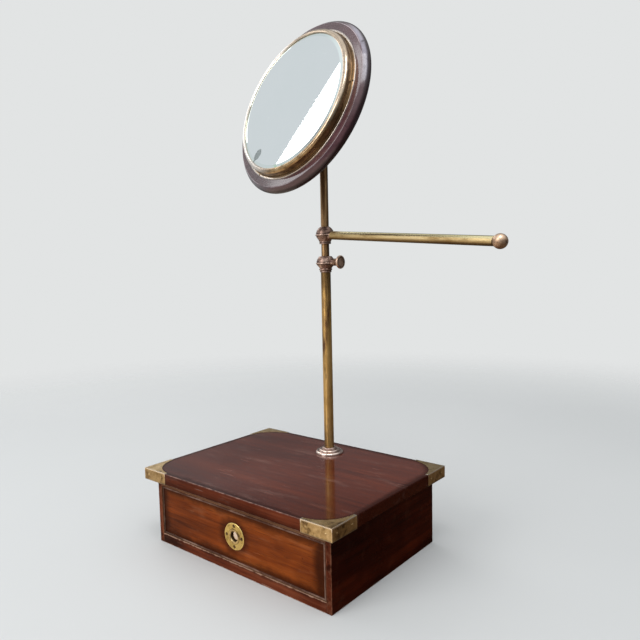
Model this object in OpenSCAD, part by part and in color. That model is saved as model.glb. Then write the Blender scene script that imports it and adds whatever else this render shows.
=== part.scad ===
// Shaving mirror on a telescopic brass pole over a mahogany box with one drawer.
// X runs to the right along the front, the front faces -Y and Z is up.
// The origin is the middle of the box's underside, where it stands on the table.

/* [Top board] */
// Width of the top board
board_w = 305; // [270:5:340]
// Depth of the top board
board_d = 228; // [204:2:260]
// Thickness of the top board
board_t = 14; // [11:1:20]
// How far the top board stands past the carcass on every side
overhang = 11; // [7:1:16]
// Radius that softens the board's long edges
board_round = 1.2; // [0.6:0.2:2.4]

/* [Carcass] */
// Height of the carcass, from the table to the top board
carcass_h = 84; // [76:1:110]
// Thickness of the bottom board
bottom_t = 12; // [9:1:15]
// Thickness of the two sides
side_t = 7; // [6:0.5:10]
// Thickness of the back
back_t = 8; // [6:0.5:11]
// Height of the rail over the drawer
rail_h = 9; // [7.5:0.5:12]
// Depth of that rail from front to back
rail_d = 18; // [14:1:26]
// How far rail ends and back edges are let into the sides
housing = 3.2; // [2:0.2:4.5]
// Width of the strips that stop the drawer from tipping
kicker_w = 12; // [8:1:18]
// Width of each drawer stop at the back of the bay
stop_w = 16; // [10:1:24]
// Height of each drawer stop
stop_h = 10; // [6:1:16]

/* [Brass corners] */
// Length of a corner strap along each edge
strap_leg = 41; // [34:1:50]
// Thickness of the strap
strap_t = 1.2; // [1:0.1:1.8]
// How far the strap stands proud of the wood
strap_proud = 0.3; // [0.2:0.1:0.8]
// Radius of the hollow curve on top of the strap
strap_arc_r = 41; // [36:1:50]
// Narrowest width of the strap's top along an edge
strap_edge = 3.5; // [2.5:0.5:6]
// Diameter of a strap pin
pin_d = 1.6; // [1.2:0.1:2]
// Length of a strap pin in the wood
pin_l = 6; // [4:0.5:6.5]
// Diameter of a strap pin's head
pin_head_d = 2.9; // [2.4:0.1:3.6]
// Distance of the pins from the ends of a leg
pin_inset = 8; // [6:1:11]

/* [Drawer] */
// Thickness of the drawer front
front_t = 14; // [12:0.5:18]
// Thickness of the drawer sides
drawer_side_t = 6; // [5:0.5:9]
// Thickness of the drawer back
drawer_back_t = 6; // [5:0.5:9]
// Thickness of the drawer bottom
drawer_bottom_t = 4; // [3:0.5:6]
// How far the drawer front lies behind the carcass front
front_inset = 1.6; // [0.6:0.2:3]
// How much lower the drawer sides are than the front
side_drop = 1.5; // [1:0.5:8]
// Height of the drawer bottom above the lower edge of the sides
groove_up = 4; // [3:0.5:7]
// Depth of the grooves that hold the drawer bottom
groove_d = 3; // [2:0.5:4]
// Wood left between the bead's rebate and the dovetails in the front
dovetail_web = 1; // [0.8:0.1:2]
// Number of dovetails at each corner of the drawer
tail_count = 3; // [2:1:4]
// Slope of the dovetails, as rise per unit of length
tail_slope = 0.16; // [0.1:0.02:0.2]
// Width of the cock bead round the drawer front
bead_w = 3; // [2.4:0.2:4]
// Depth of the rebate that takes the bead
bead_depth = 5; // [4:0.5:5.5]
// How far the bead stands proud of the drawer front
bead_proud = 1; // [0.6:0.1:1.4]

/* [Drawer socket plate] */
// Diameter of the round plate
plate_d = 32; // [30:1:42]
// How far the plate sits to the right of the drawer's middle
plate_off = -1.8; // [-5:0.1:5]
// Thickness of the round plate
plate_t = 1.4; // [1.2:0.1:2]
// How deep the plate is let into the wood
plate_let = 0.8; // [0.4:0.1:1]
// Width of the raised ring past the socket's barrel
socket_rim = 1.2; // [0.8:0.1:2]
// Height of the raised ring over the plate
socket_ring_h = 0.5; // [0.4:0.1:1.6]
// Wall of the socket's barrel
socket_wall = 1.2; // [0.8:0.1:1.6]
// Bore of the socket
socket_bore = 12.2; // [10:0.2:14]
// Depth of the socket's bore behind the drawer's face
socket_depth = 9; // [6:0.5:11]
// Diameter of the plate's screw heads
plate_screw_d = 4; // [3.4:0.2:4.4]

/* [Pole] */
// Distance of the pole from the board's back edge
pole_inset = 40; // [34:1:60]
// Outer diameter of the outer tube
tube_d = 13; // [11:0.1:16]
// Wall of the outer tube
tube_wall = 1.2; // [0.8:0.1:1.6]
// Height of the outer tube over the board
tube_h = 252; // [180:1:300]
// Length of rod inside the outer tube, as set
rod_in = 190; // [150:1:200]
// Height of the tilt pivot over the outer tube, as set
rod_out = 185.5; // [180:0.5:230]
// How far the rod assembly is turned about the pole, as set
swivel_deg = -8.4; // [-30:0.1:30]
// Diameter of the flange on the board
flange_d = 37; // [34:1:44]
// Height of the flange
flange_h = 8; // [7:0.5:11]
// Width of the lock nut over its flats
nut_af = 22; // [20:1:26]
// Thickness of the lock nut
nut_t = 5; // [4:0.5:5.5]
// Diameter of the washer on the lock nut
washer_d = 32; // [28:1:38]

/* [Collars] */
// Wall of the plain ring at the foot of both collars
collar_wall = 1.1; // [1:0.1:2.5]
// How far the ridge stands out past that ring
collar_flare = 5.2; // [4:0.1:7]
// Height of the ridge
collar_ridge_h = 1.9; // [1.4:0.1:3]
// How much smaller the ball's radius is than the ridge's
ball_inset = 0.8; // [0.5:0.1:1.6]
// Height of the clamping collar's plain ring
clamp_foot_h = 2.6; // [2:0.1:4]
// Height of the bead over it
clamp_bead_h = 2.6; // [1.8:0.1:3.4]
// Height of the slope from the bead to the ridge
clamp_slope_h = 5.5; // [4:0.1:8]
// Width of the flat lip on top of the clamping collar
clamp_lip = 2.7; // [1.6:0.1:3.4]
// Height of the arm collar's plain ring
arm_foot_h = 3.5; // [2.5:0.1:5]
// Height of the slope from that ring to the ridge
arm_slope_h = 7.2; // [5:0.1:9]
// Width of the flat lip on top of the arm collar
arm_lip = 0.9; // [0.6:0.1:2]
// Free height between the two collars, as set
collar_gap = 15.9; // [6:0.1:24]
// Length of tube inside the clamping collar
tube_seat = 8; // [6:0.5:10]
// Thickness of the lip that keeps the bush in the clamping collar
pocket_lip = 2; // [1.2:0.1:3]
// Width of the slit in the clamping bush
bush_slit = 1.4; // [0.8:0.1:2]

/* [Thumbscrew] */
// Diameter of the thumbscrew's head
thumb_d = 17.5; // [14:0.5:21]
// Thickness of the head at its rim
thumb_t = 3; // [2:0.2:4]
// Length of the neck between the boss and the head
thumb_neck = 7.9; // [6:0.1:14]
// Height of the screw's axis over the middle of the collar's ridge
thumb_up = 1.4; // [0:0.1:2]
// Diameter of the screw's shank
thumb_shank_d = 4; // [3.5:0.1:5]
// Diameter of the boss that it screws into
boss_d = 9.6; // [8:0.2:10.4]
// How far the boss stands out past the collar's ridge
boss_out = 2; // [1:0.1:4]

/* [Arm] */
// Diameter of the arm
arm_d = 10.9; // [8:0.1:11.4]
// Distance of the ball's centre from the pole's axis
arm_reach = 260; // [160:1:300]
// How far the arm hangs below level
arm_droop = 3.9; // [0:0.1:5]
// Diameter of the ball
ball_d = 16; // [14:0.5:20]
// Diameter of the screwed spigots at the arm's ends
spigot_d = 5.6; // [4:0.1:6]
// How far the collar's stub for the arm stands out past the ridge
arm_stub = 0.5; // [0.5:0.1:3]

/* [Tilt joint] */
// How far the mirror is tipped back, as set
tilt_deg = 19.1; // [0:0.1:45]
// Diameter of the fork on top of the rod
fork_d = 16; // [15:0.5:18]
// Thickness of the fork's cheeks
cheek_t = 4.2; // [3.6:0.1:4.8]
// Thickness of the tongue
tongue_t = 4.6; // [4:0.1:5.2]
// Radius of the tongue's round end
tongue_r = 6.4; // [5.5:0.1:7]
// Diameter of the tilt screw
tilt_d = 4; // [3.5:0.1:4.5]
// Distance from the pivot to the back of the wooden disc
standoff = 33; // [28:0.5:45]
// Diameter of the plate that carries the tongue
lug_d = 52; // [44:1:64]
// Thickness of that plate
lug_t = 3; // [2.4:0.2:4]

/* [Mirror] */
// Diameter of the mirror glass
glass_d = 184; // [140:1:230]
// Thickness of the wooden disc
disc_t = 13; // [12:0.5:18]
// Width of the rounded edge round the disc's face
disc_bevel = 5.6; // [4:0.2:7]
// Width of bare wood between the bezel's flange and that edge
disc_face_w = 9.4; // [5:0.2:20]
// Width of the brass bezel's flange
bezel_flange_w = 4; // [3.6:0.1:8]
// Thickness of the flange
bezel_flange_t = 1; // [0.8:0.1:1.4]
// Space between the glass's edge and the outside of the bezel's wall
bezel_room = 2.5; // [2.3:0.1:5]
// Height of the bezel over the disc's face
bezel_h = 11.6; // [11:0.1:18]
// Radius of the bezel's rounded nose
nose_r = 4; // [3.4:0.1:4.6]
// Thickness of the brass in the bezel
bezel_t = 1.1; // [0.9:0.05:1.3]
// Thickness of the mirror glass
glass_t = 4; // [3:0.1:4.6]
// Width of the bevel ground on the glass
glass_bevel_w = 8; // [6.6:0.1:12]
// Depth of that bevel
glass_bevel_h = 1.6; // [1.5:0.1:2]
// Number of screws in the bezel's flange
bezel_screws_n = 3; // [3:1:8]
// Angle of the first of them
bezel_screw_deg = 5; // [0:1:60]

/* [Fits] */
// Clearance of glued, pinned and screwed joints
snug = 0.05; // [0.02:0.01:0.08]
// Radial clearance of a turning or sliding fit
run = 0.1; // [0.06:0.01:0.1]
// Gap between pieces that slide past each other
gap = 0.3; // [0.2:0.05:0.4]
// Gap between the drawer and the sides of its bay
drawer_gap = 0.5; // [0.3:0.1:0.8]

/* [Hidden] */
$fn = 96;

// Cutters run this far past a surface
past = 1;

// Carcass
body_x = board_w / 2 - overhang;
body_y = board_d / 2 - overhang;
bay_x = body_x - side_t;
bay_top = carcass_h - rail_h;
bay_back = body_y - back_t;
board_top = carcass_h + board_t;
rail_tenon_y = -body_y + rail_d / 3;
bottom_tongue_t = bottom_t / 2;
tongue_stop = 10;
tongue_y = -body_y + tongue_stop;
tongue_z = bottom_t / 4;
strap_arc_c = strap_arc_r + strap_edge;

// Drawer
face_y = -body_y + front_inset;
front_back_y = face_y + front_t;
front_lap = front_t - bead_depth - dovetail_web;
drawer_x = bay_x - drawer_gap;
drawer_in_x = drawer_x - drawer_side_t;
drawer_z = bottom_t + gap;
front_top = bay_top - drawer_gap;
side_top = front_top - side_drop;
stop_d = 6.5;
drawer_end_y = bay_back - stop_d - gap;
drawer_back_y = drawer_end_y - drawer_back_t;
groove_z = drawer_z + groove_up;
groove_top = groove_z + drawer_bottom_t + 2 * snug;
plate_z = (drawer_z + front_top) / 2;
socket_d = socket_bore + 2 * socket_wall;
socket_ring_d = socket_d + 2 * socket_rim;
socket_floor = 1;
plate_screw_r = (plate_d + socket_ring_d) / 4;
plate_screw_l = 8;
plate_screw_shank = 2;

// Pole and collars
pole_y = board_d / 2 - pole_inset;
rod_d = tube_d - 2 * tube_wall - 2 * run;
tube_top = board_top + tube_h;
tube_tail = 1.5;
tube_bottom = carcass_h - nut_t - tube_tail;
collar_ring_d = tube_d + 2 * collar_wall;
collar_d = collar_ring_d + 2 * collar_flare;
collar_ball_r = collar_d / 2 - ball_inset;
ball_sink = 0.5;
clamp_z = tube_top - tube_seat;
clamp_ridge_z = clamp_foot_h + clamp_bead_h + clamp_slope_h;
clamp_lip_r = rod_d / 2 + clamp_lip;
clamp_h = collar_height(clamp_ridge_z, clamp_lip_r);
clamp_top = clamp_z + clamp_h;
pocket_top = clamp_top - pocket_lip;
thumb_z = clamp_z + clamp_ridge_z + collar_ridge_h / 2 + thumb_up;
bush_r = tube_d / 2 + snug - run;
bush_h = pocket_top - tube_top - 2 * gap;
boss_reach = collar_d / 2 + boss_out;
thumb_reach = boss_reach + gap + thumb_neck + thumb_t;
arm_collar_z = clamp_top + collar_gap;
arm_ridge_z = arm_foot_h + arm_slope_h;
arm_lip_r = rod_d / 2 + arm_lip;
arm_collar_h = collar_height(arm_ridge_z, arm_lip_r);
arm_z = arm_collar_z + arm_ridge_z + collar_ridge_h / 2;
arm_shoulder = collar_d / 2 + arm_stub;
spigot_in = rod_d / 2 + 1.4;
ball_neck_r = arm_d / 2 - 0.5;
ball_neck = 0.6;
ball_seat = arm_reach - sqrt(pow(ball_d / 2, 2) - pow(ball_neck_r, 2)) - ball_neck;
pivot_z = tube_top + rod_out;

// Fork
slot_w = tongue_t + 2 * gap;
slot_r = tongue_r + 2.5;
fork_w = slot_w + 2 * cheek_t;
fork_floor = 2.5;
fork_seat = 14;
tilt_nut_h = 3.2;
tilt_thread_out = 1.2;
rod_top = pivot_z - slot_r - fork_floor;
fork_z = rod_top - fork_seat;

// Hinge plate's screws
lug_screw_d = 3.4;
lug_screw_r = lug_d / 2 - 7;
lug_screw_floor = 3;

// Mirror, as distances from the pivot along the mirror's own axis and radii about it
glass_r = glass_d / 2;
bezel_r = glass_r + bezel_room;
flange_r = bezel_r + bezel_flange_w;
arris_r = flange_r + disc_face_w;
rim_r = arris_r + disc_bevel;
face_u = standoff + disc_t;
rim_u = standoff + disc_t * 0.42;
nose_u = face_u + bezel_h - nose_r;
nose_c = bezel_r - nose_r;
lip_angle = 125;
lip_r = nose_c + (nose_r - bezel_t) * cos(lip_angle);
lip_u = nose_u + (nose_r - bezel_t) * sin(lip_angle);
lip_drop = glass_bevel_h * (lip_r - glass_r + glass_bevel_w) / glass_bevel_w;
glass_u = lip_u + lip_drop - gap / 2;
backing_top = glass_u - glass_t - gap / 2;
backing_r = bezel_r - bezel_t - gap;
wall_base_r = bezel_r + 0.3;
wall_fillet = 0.9;
bezel_screw_r = (wall_base_r + wall_fillet + flange_r) / 2;
bezel_screw_d = 1.6;
bezel_screw_l = 6.5;

// Height of a collar whose ridge starts at ridge_z and whose ball ends at the radius top_r
function collar_height(ridge_z, top_r) =
  ridge_z + collar_ridge_h - ball_sink + sqrt(pow(collar_ball_r, 2) - pow(top_r, 2));

// Points of an arc round [cx, cy]
function arc(cx, cy, r, from, to, n) =
  [for (i = [0:n]) let (a = from + (to - from) * i / n) [cx + r * cos(a), cy + r * sin(a)]];

// Points of an arc of an ellipse round [cx, cy]
function oval(cx, cy, rx, ry, from, to, n) =
  [for (i = [0:n]) let (a = from + (to - from) * i / n) [cx + rx * cos(a), cy + ry * sin(a)]];

// Extrudes a flat shape drawn in Y and Z along X, from x0 for a length t
module along_x(x0, t) {
  translate([x0, 0, 0])
    rotate([90, 0, 90])
      linear_extrude(t) children();
}

// Extrudes a flat shape drawn in X and Z along Y, from y0 back to y0 + t
module along_y(y0, t) {
  translate([0, y0 + t, 0])
    rotate([90, 0, 0])
      linear_extrude(t) children();
}

// Box given by its two opposite corners
module block(low, high) {
  translate(low) cube(high - low);
}

// Copies its child to the left and to the right
module both_sides() {
  children();
  mirror([1, 0, 0]) children();
}

// Frame of the rod assembly: it turns about the pole
module on_rod() {
  translate([0, pole_y, 0]) rotate([0, 0, swivel_deg]) children();
}

// Frame of the mirror: local Z is the way the glass looks, from the pivot
module on_mirror() {
  translate([0, pole_y, pivot_z])
    rotate([0, 0, swivel_deg])
      rotate([90 - tilt_deg, 0, 0]) children();
}

// Frame of the arm: local Z runs out along the arm from the pole's axis
module on_arm() {
  translate([0, pole_y, arm_z])
    rotate([0, 0, swivel_deg])
      rotate([0, 90 + arm_droop, 0]) children();
}

// Waste of a rounded edge of radius r, along X at the corner of the Y and Z axes
module edge_waste(len, r) {
  along_x(-len / 2, len)
    difference() {
      translate([-past, -past]) square(r + past);
      translate([r, r]) circle(r);
    }
}

// Board [w, d, t] with its upper and lower arrises softened
module soft_board(w, d, t, r) {
  difference() {
    block([-w / 2, -d / 2, 0], [w / 2, d / 2, t]);
    for (turn = [0, 180])
      rotate([0, 0, turn])
        for (up = [0, 1])
          translate([0, -d / 2, up * t])
            mirror([0, 0, up]) edge_waste(w + 2 * past, r);
    for (turn = [90, 270])
      rotate([0, 0, turn])
        for (up = [0, 1])
          translate([0, -w / 2, up * t])
            mirror([0, 0, up]) edge_waste(d + 2 * past, r);
  }
}

// Carcass

// The bottom lies between the sides, and a tongue along each end runs in a groove that stops short of the front
module bottom_board() {
  color("#4a2417") {
    block([-bay_x + snug, -body_y, 0], [bay_x - snug, bay_back, bottom_t]);
    both_sides()
      block(
        [bay_x - past, tongue_y, tongue_z],
        [bay_x + housing - snug, bay_back, tongue_z + bottom_tongue_t]
      );
  }
}

module carcass_side() {
  difference() {
    block([bay_x, -body_y, 0], [body_x, body_y, carcass_h]);
    block([bay_x - past, bay_back, -past], [bay_x + housing, body_y + past, carcass_h + past]);
    block(
      [bay_x - past, tongue_y - snug, tongue_z - snug],
      [bay_x + housing, bay_back + past, tongue_z + bottom_tongue_t + snug]
    );
    block(
      [bay_x - past, rail_tenon_y - snug, bay_top - snug],
      [bay_x + housing, -body_y + rail_d + snug, carcass_h + past]
    );
  }
}

module side_right() {
  color("#3a1a12") carcass_side();
}

module side_left() {
  color("#3a1a12") mirror([1, 0, 0]) carcass_side();
}

module back_panel() {
  lap = bay_x + housing - snug;
  color("#3a1a12") block([-lap, bay_back + snug, 0], [lap, body_y, carcass_h]);
}

module top_rail() {
  color("#5a2a18") {
    block([-bay_x + snug, -body_y, bay_top], [bay_x - snug, -body_y + rail_d, carcass_h]);
    both_sides()
      block(
        [bay_x - past, rail_tenon_y, bay_top],
        [bay_x + housing - snug, -body_y + rail_d, carcass_h]
      );
  }
}

module kicker_strips() {
  color("#6b4a2e")
    both_sides()
      block(
        [bay_x - kicker_w, -body_y + rail_d + snug, bay_top],
        [bay_x - snug, bay_back, carcass_h]
      );
}

module drawer_stops() {
  color("#6b4a2e")
    both_sides()
      block([bay_x - stop_w, bay_back - stop_d, bottom_t], [bay_x - snug, bay_back, bottom_t + stop_h]);
}

module top_board() {
  color("#4b2218")
    difference() {
      translate([0, 0, carcass_h]) soft_board(board_w, board_d, board_t, board_round);
      translate([0, pole_y, carcass_h - past]) cylinder(d = tube_d + 2 * snug, h = board_t + 2 * past);
      each_corner() strap(snug, past);
      each_corner() strap_pin_places() pin_hole();
    }
}

// Brass corners, drawn with the board's corner at the origin and the board towards -X and -Y

module corner_place(sx, sy) {
  translate([sx * board_w / 2, sy * board_d / 2, board_top])
    mirror([sx < 0 ? 1 : 0, 0, 0])
      mirror([0, sy < 0 ? 1 : 0, 0]) children();
}

module each_corner() {
  for (sx = [-1, 1])
    for (sy = [-1, 1])
      corner_place(sx, sy) children();
}

// The strap's three plates: grow widens them for the recess, out is how far they reach outside
module strap(grow, out) {
  inner = strap_proud - strap_t - grow;
  thick = out - inner;
  long = strap_leg + grow + out;
  under = grow > 0 ? past : 0;
  translate([0, 0, inner])
    linear_extrude(thick)
      difference() {
        translate([-strap_leg - grow, -strap_leg - grow]) square(long);
        translate([-strap_arc_c, -strap_arc_c]) circle(strap_arc_r - grow);
      }
  translate([-strap_leg - grow, inner, -board_t - under]) cube([long, thick, board_t + under + out]);
  translate([inner, -strap_leg - grow, -board_t - under]) cube([thick, long, board_t + under + out]);
}

// Pin places on both upright plates, local Z pointing out of the plate's face
module strap_pin_places() {
  for (along = [pin_inset, strap_leg - pin_inset]) {
    translate([-along, strap_proud, -board_t / 2]) rotate([-90, 0, 0]) children();
    translate([strap_proud, -along, -board_t / 2]) rotate([0, 90, 0]) children();
  }
}

module pin_hole() {
  translate([0, 0, -pin_l - snug]) cylinder(d = pin_d + 2 * snug, h = pin_l + past);
}

module strap_pin() {
  head_r = pin_head_d / 2;
  head_h = 0.5;
  translate([0, 0, -pin_l]) cylinder(d = pin_d, h = pin_l + head_h / 2);
  rotate_extrude($fn = 32) polygon(concat([[0, 0]], oval(0, 0, head_r, head_h, 0, 90, 6)));
}

module brass_corner(sx, sy) {
  color("#9a8348")
    corner_place(sx, sy)
      difference() {
        strap(0, strap_proud);
        strap_pin_places() pin_hole();
      }
}

module corner_pins() {
  color("#8c7440") each_corner() strap_pin_places() strap_pin();
}

// Pole

module pole_flange() {
  ring_w = 4.6;
  neck_wall = 3;
  step_round = 1.5;
  neck_round = 1.4;
  ring_r = flange_d / 2;
  step_r = ring_r - ring_w;
  neck_r = tube_d / 2 + neck_wall;
  ring_h = flange_h * 0.41;
  step_h = flange_h * 0.69;
  curl = ring_h * 0.72;
  color("#b39a86")
    translate([0, pole_y, board_top])
      rotate_extrude()
        polygon(concat(
          [[tube_d / 2 + snug, 0], [ring_r, 0]],
          arc(ring_r - curl, ring_h - curl, curl, 0, 90, 8),
          [[step_r + 0.8, ring_h], [step_r, ring_h + 0.4]],
          arc(step_r - step_round, step_h - step_round, step_round, 0, 90, 6),
          [[neck_r + 0.6, step_h]],
          arc(neck_r - neck_round, flange_h - neck_round, neck_round, 0, 90, 6),
          [[tube_d / 2 + snug, flange_h]]
        ));
}

module outer_tube() {
  color("#7d6534")
    translate([0, pole_y, tube_bottom])
      difference() {
        cylinder(d = tube_d, h = tube_top - tube_bottom);
        translate([0, 0, -past]) cylinder(d = tube_d - 2 * tube_wall, h = tube_top - tube_bottom + 2 * past);
      }
}

// Hexagonal nut that stands on its plain side; the corners of its other side are chamfered
module hex_nut(flats, h) {
  corner_r = flats / 2 / cos(30);
  fall = 0.6;
  intersection() {
    cylinder(r = corner_r, h = h, $fn = 6);
    rotate_extrude()
      polygon([
        [0, 0], [corner_r + past, 0], [corner_r + past, h - fall * (corner_r + past - flats / 2)],
        [flats / 2, h], [0, h]
      ]);
  }
}

module pole_nut() {
  washer_t = 1.2;
  color("#8a7240")
    translate([0, pole_y, carcass_h - nut_t])
      difference() {
        union() {
          translate([0, 0, nut_t - washer_t]) rotate([180, 0, 0]) hex_nut(nut_af, nut_t - washer_t);
          translate([0, 0, nut_t - washer_t]) cylinder(d = washer_d, h = washer_t);
        }
        translate([0, 0, -past]) cylinder(d = tube_d + 2 * snug, h = nut_t + 2 * past);
      }
}

// Outline of a plain ring at the foot of a collar
function collar_foot(h) =
  let (r = collar_ring_d / 2, chamfer = 0.3)
  [[0, 0], [r - chamfer, 0], [r, chamfer], [r, h - chamfer], [r - chamfer, h]];

// Outline of a turned collar above its foot: slope, ridge at ridge_z and ball, up to the flat lip at top_r
function collar_outline(foot, ridge_z, top_r) =
  let (
    first = foot[len(foot) - 1],
    neck_r = collar_d / 2 - 0.9,
    ball_z = ridge_z + collar_ridge_h - ball_sink,
    ball_end = acos(top_r / collar_ball_r)
  )
  concat(
    foot,
    [for (i = [1:8]) let (t = i / 8, bow = t - 0.06 * sin(360 * t))
      [first[0] + 0.4 + (neck_r - first[0] - 0.4) * bow, first[1] + (ridge_z - first[1]) * t]],
    oval(neck_r, ridge_z + collar_ridge_h / 2, collar_d / 2 - neck_r, collar_ridge_h / 2, -80, 80, 8),
    arc(0, ball_z, collar_ball_r, asin(ball_sink / collar_ball_r) + 2, ball_end, 14),
    [[0, ball_z + collar_ball_r * sin(ball_end)]]
  );

module clamp_collar() {
  bead = oval(collar_ring_d / 2 - 0.2, clamp_foot_h + clamp_bead_h / 2, 1.3, clamp_bead_h / 2, -80, 80, 8);
  color("#77573f")
    translate([0, pole_y, 0])
      difference() {
        union() {
          translate([0, 0, clamp_z]) rotate_extrude()
            polygon(collar_outline(concat(collar_foot(clamp_foot_h), bead), clamp_ridge_z, clamp_lip_r));
          translate([0, 0, thumb_z]) rotate([0, 90, 0]) cylinder(d = boss_d, h = boss_reach);
        }
        translate([0, 0, clamp_z - past]) cylinder(d = tube_d + 2 * snug, h = pocket_top - clamp_z + past);
        translate([0, 0, clamp_z]) cylinder(d = rod_d + 2 * gap, h = clamp_top - clamp_z + past);
        translate([0, 0, thumb_z]) rotate([0, 90, 0])
          cylinder(d = thumb_shank_d + 2 * snug, h = boss_reach + past);
      }
}

module clamp_bush() {
  color("#8a6b45")
    on_rod()
      translate([0, 0, tube_top + gap])
        difference() {
          cylinder(r = bush_r, h = bush_h);
          translate([0, 0, -past]) cylinder(d = rod_d + 2 * run, h = bush_h + 2 * past);
          translate([-bush_r - past, -bush_slit / 2, -past]) cube([bush_r, bush_slit, bush_h + 2 * past]);
        }
}

// Turned in one: shank, tapered neck and a head with a dished face
module thumbscrew() {
  head_r = thumb_d / 2;
  head_in = thumb_reach - thumb_t;
  neck_in = boss_reach + gap;
  rim = thumb_t / 2;
  dish = 0.9;
  dish_r = head_r - 2;
  shank_r = thumb_shank_d / 2;
  foot_r = boss_d / 2;
  foot_h = 1.6;
  neck_r = foot_r - 1.6;
  color("#7a5a45")
    translate([0, pole_y, thumb_z])
      rotate([0, 90, 0])
        rotate_extrude()
          polygon(concat(
            [[0, bush_r + gap], [shank_r - 0.4, bush_r + gap], [shank_r, bush_r + gap + 0.4]],
            [[shank_r, neck_in], [foot_r - 0.3, neck_in], [foot_r, neck_in + 0.5]],
            [[foot_r, neck_in + foot_h], [neck_r + 0.4, neck_in + foot_h + 0.8], [neck_r, head_in - 3]],
            [[neck_r + 1, head_in - 1.2], [foot_r + 1, head_in - 0.2]],
            oval(head_r - 1, head_in + rim, 1, rim, -90, 90, 8),
            [[dish_r, thumb_reach]],
            [for (i = [1:6]) [dish_r * cos(15 * i), thumb_reach - dish * sin(15 * i)]]
          ));
}

module inner_rod() {
  chamfer = 0.6;
  low = tube_top - rod_in;
  color("#7d6534")
    on_rod()
      rotate_extrude()
        polygon([
          [0, low], [rod_d / 2 - chamfer, low], [rod_d / 2, low + chamfer],
          [rod_d / 2, rod_top], [0, rod_top]
        ]);
}

// Arm

module arm_collar() {
  color("#77573f")
    difference() {
      union() {
        on_rod() translate([0, 0, arm_collar_z])
          rotate_extrude() polygon(collar_outline(collar_foot(arm_foot_h), arm_ridge_z, arm_lip_r));
        on_arm() cylinder(d = arm_d, h = arm_shoulder);
      }
      on_rod() translate([0, 0, arm_collar_z - past])
        cylinder(d = rod_d + 2 * snug, h = arm_collar_h + 2 * past);
      on_arm() translate([0, 0, spigot_in - 0.4]) cylinder(d = spigot_d + 2 * snug, h = arm_shoulder);
    }
}

module arm() {
  color("#a58a4c")
    on_arm()
      rotate_extrude()
        polygon([
          [0, spigot_in], [spigot_d / 2, spigot_in], [spigot_d / 2, arm_shoulder],
          [arm_d / 2, arm_shoulder], [arm_d / 2, ball_seat - 0.4], [arm_d / 2 - 0.4, ball_seat],
          [spigot_d / 2, ball_seat], [spigot_d / 2, arm_reach], [0, arm_reach]
        ]);
}

// Ball with a short turned neck that butts against the arm
module arm_ball() {
  bore_r = spigot_d / 2 + snug;
  color("#8c6f45")
    on_arm()
      rotate_extrude()
        polygon(concat(
          [[bore_r, ball_seat], [ball_neck_r, ball_seat]],
          arc(0, arm_reach, ball_d / 2, asin(2 * ball_neck_r / ball_d) - 90, 90, 24),
          [[0, arm_reach + snug], [bore_r, arm_reach + snug]]
        ));
}

// Tilt joint

module rod_fork() {
  fork_r = fork_d / 2;
  foot_r = rod_d / 2 + 1.4;
  color("#8a7040")
    difference() {
      on_rod()
        difference() {
          intersection() {
            translate([0, 0, fork_z])
              rotate_extrude()
                polygon(concat(
                  [[0, 0], [foot_r, 0], [foot_r, 2.6], [foot_r - 0.7, 3.2]],
                  [for (i = [0:8]) let (a = 90 * i / 8)
                    [foot_r - 0.7 + (fork_r - foot_r + 0.7) * (1 - cos(a)), 3.6 + 6 * sin(a)]],
                  [[fork_r, pivot_z + fork_r - fork_z], [0, pivot_z + fork_r - fork_z]]
                ));
            union() {
              block([-fork_r, -fork_r, fork_z], [fork_r, fork_r, rod_top - 3]);
              block([-fork_w / 2, -fork_r, fork_z], [fork_w / 2, fork_r, pivot_z]);
              translate([-fork_w / 2, 0, pivot_z]) rotate([0, 90, 0]) cylinder(r = fork_r, h = fork_w);
            }
          }
          block(
            [-slot_w / 2, -fork_r - past, pivot_z - slot_r],
            [slot_w / 2, fork_r + past, pivot_z + fork_r + past]
          );
          translate([0, 0, fork_z - past]) cylinder(d = rod_d + 2 * snug, h = rod_top + snug - fork_z + past);
        }
      on_rod()
        translate([-fork_w, 0, pivot_z]) rotate([0, 90, 0]) cylinder(d = tilt_d + 2 * snug, h = 2 * fork_w);
    }
}

module tilt_screw() {
  head_d = 2 * tilt_d;
  head_h = 2.4;
  slit = 1;
  slit_depth = 1.1;
  color("#8c7443")
    on_rod()
      translate([0, 0, pivot_z])
        difference() {
          union() {
            translate([-fork_w / 2, 0, 0]) rotate([0, 90, 0])
              cylinder(d = tilt_d, h = fork_w + tilt_nut_h + tilt_thread_out);
            translate([-fork_w / 2 - head_h, 0, 0]) rotate([0, 90, 0]) cylinder(d = head_d, h = head_h);
          }
          translate([-fork_w / 2 - head_h - past, -slit / 2, -head_d])
            cube([past + slit_depth, slit, 2 * head_d]);
        }
}

module tilt_nut() {
  color("#8c7443")
    on_rod()
      translate([fork_w / 2, 0, pivot_z])
        rotate([0, 90, 0])
          difference() {
            hex_nut(2 * tilt_d, tilt_nut_h);
            translate([0, 0, -past]) cylinder(d = tilt_d + 2 * snug, h = tilt_nut_h + 2 * past);
          }
}

// Places of the four screws in the hinge plate, on its back face
module lug_screw_places() {
  for (a = [45:90:315])
    rotate([0, 0, a]) translate([lug_screw_r, 0, standoff - lug_t]) children();
}

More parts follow.
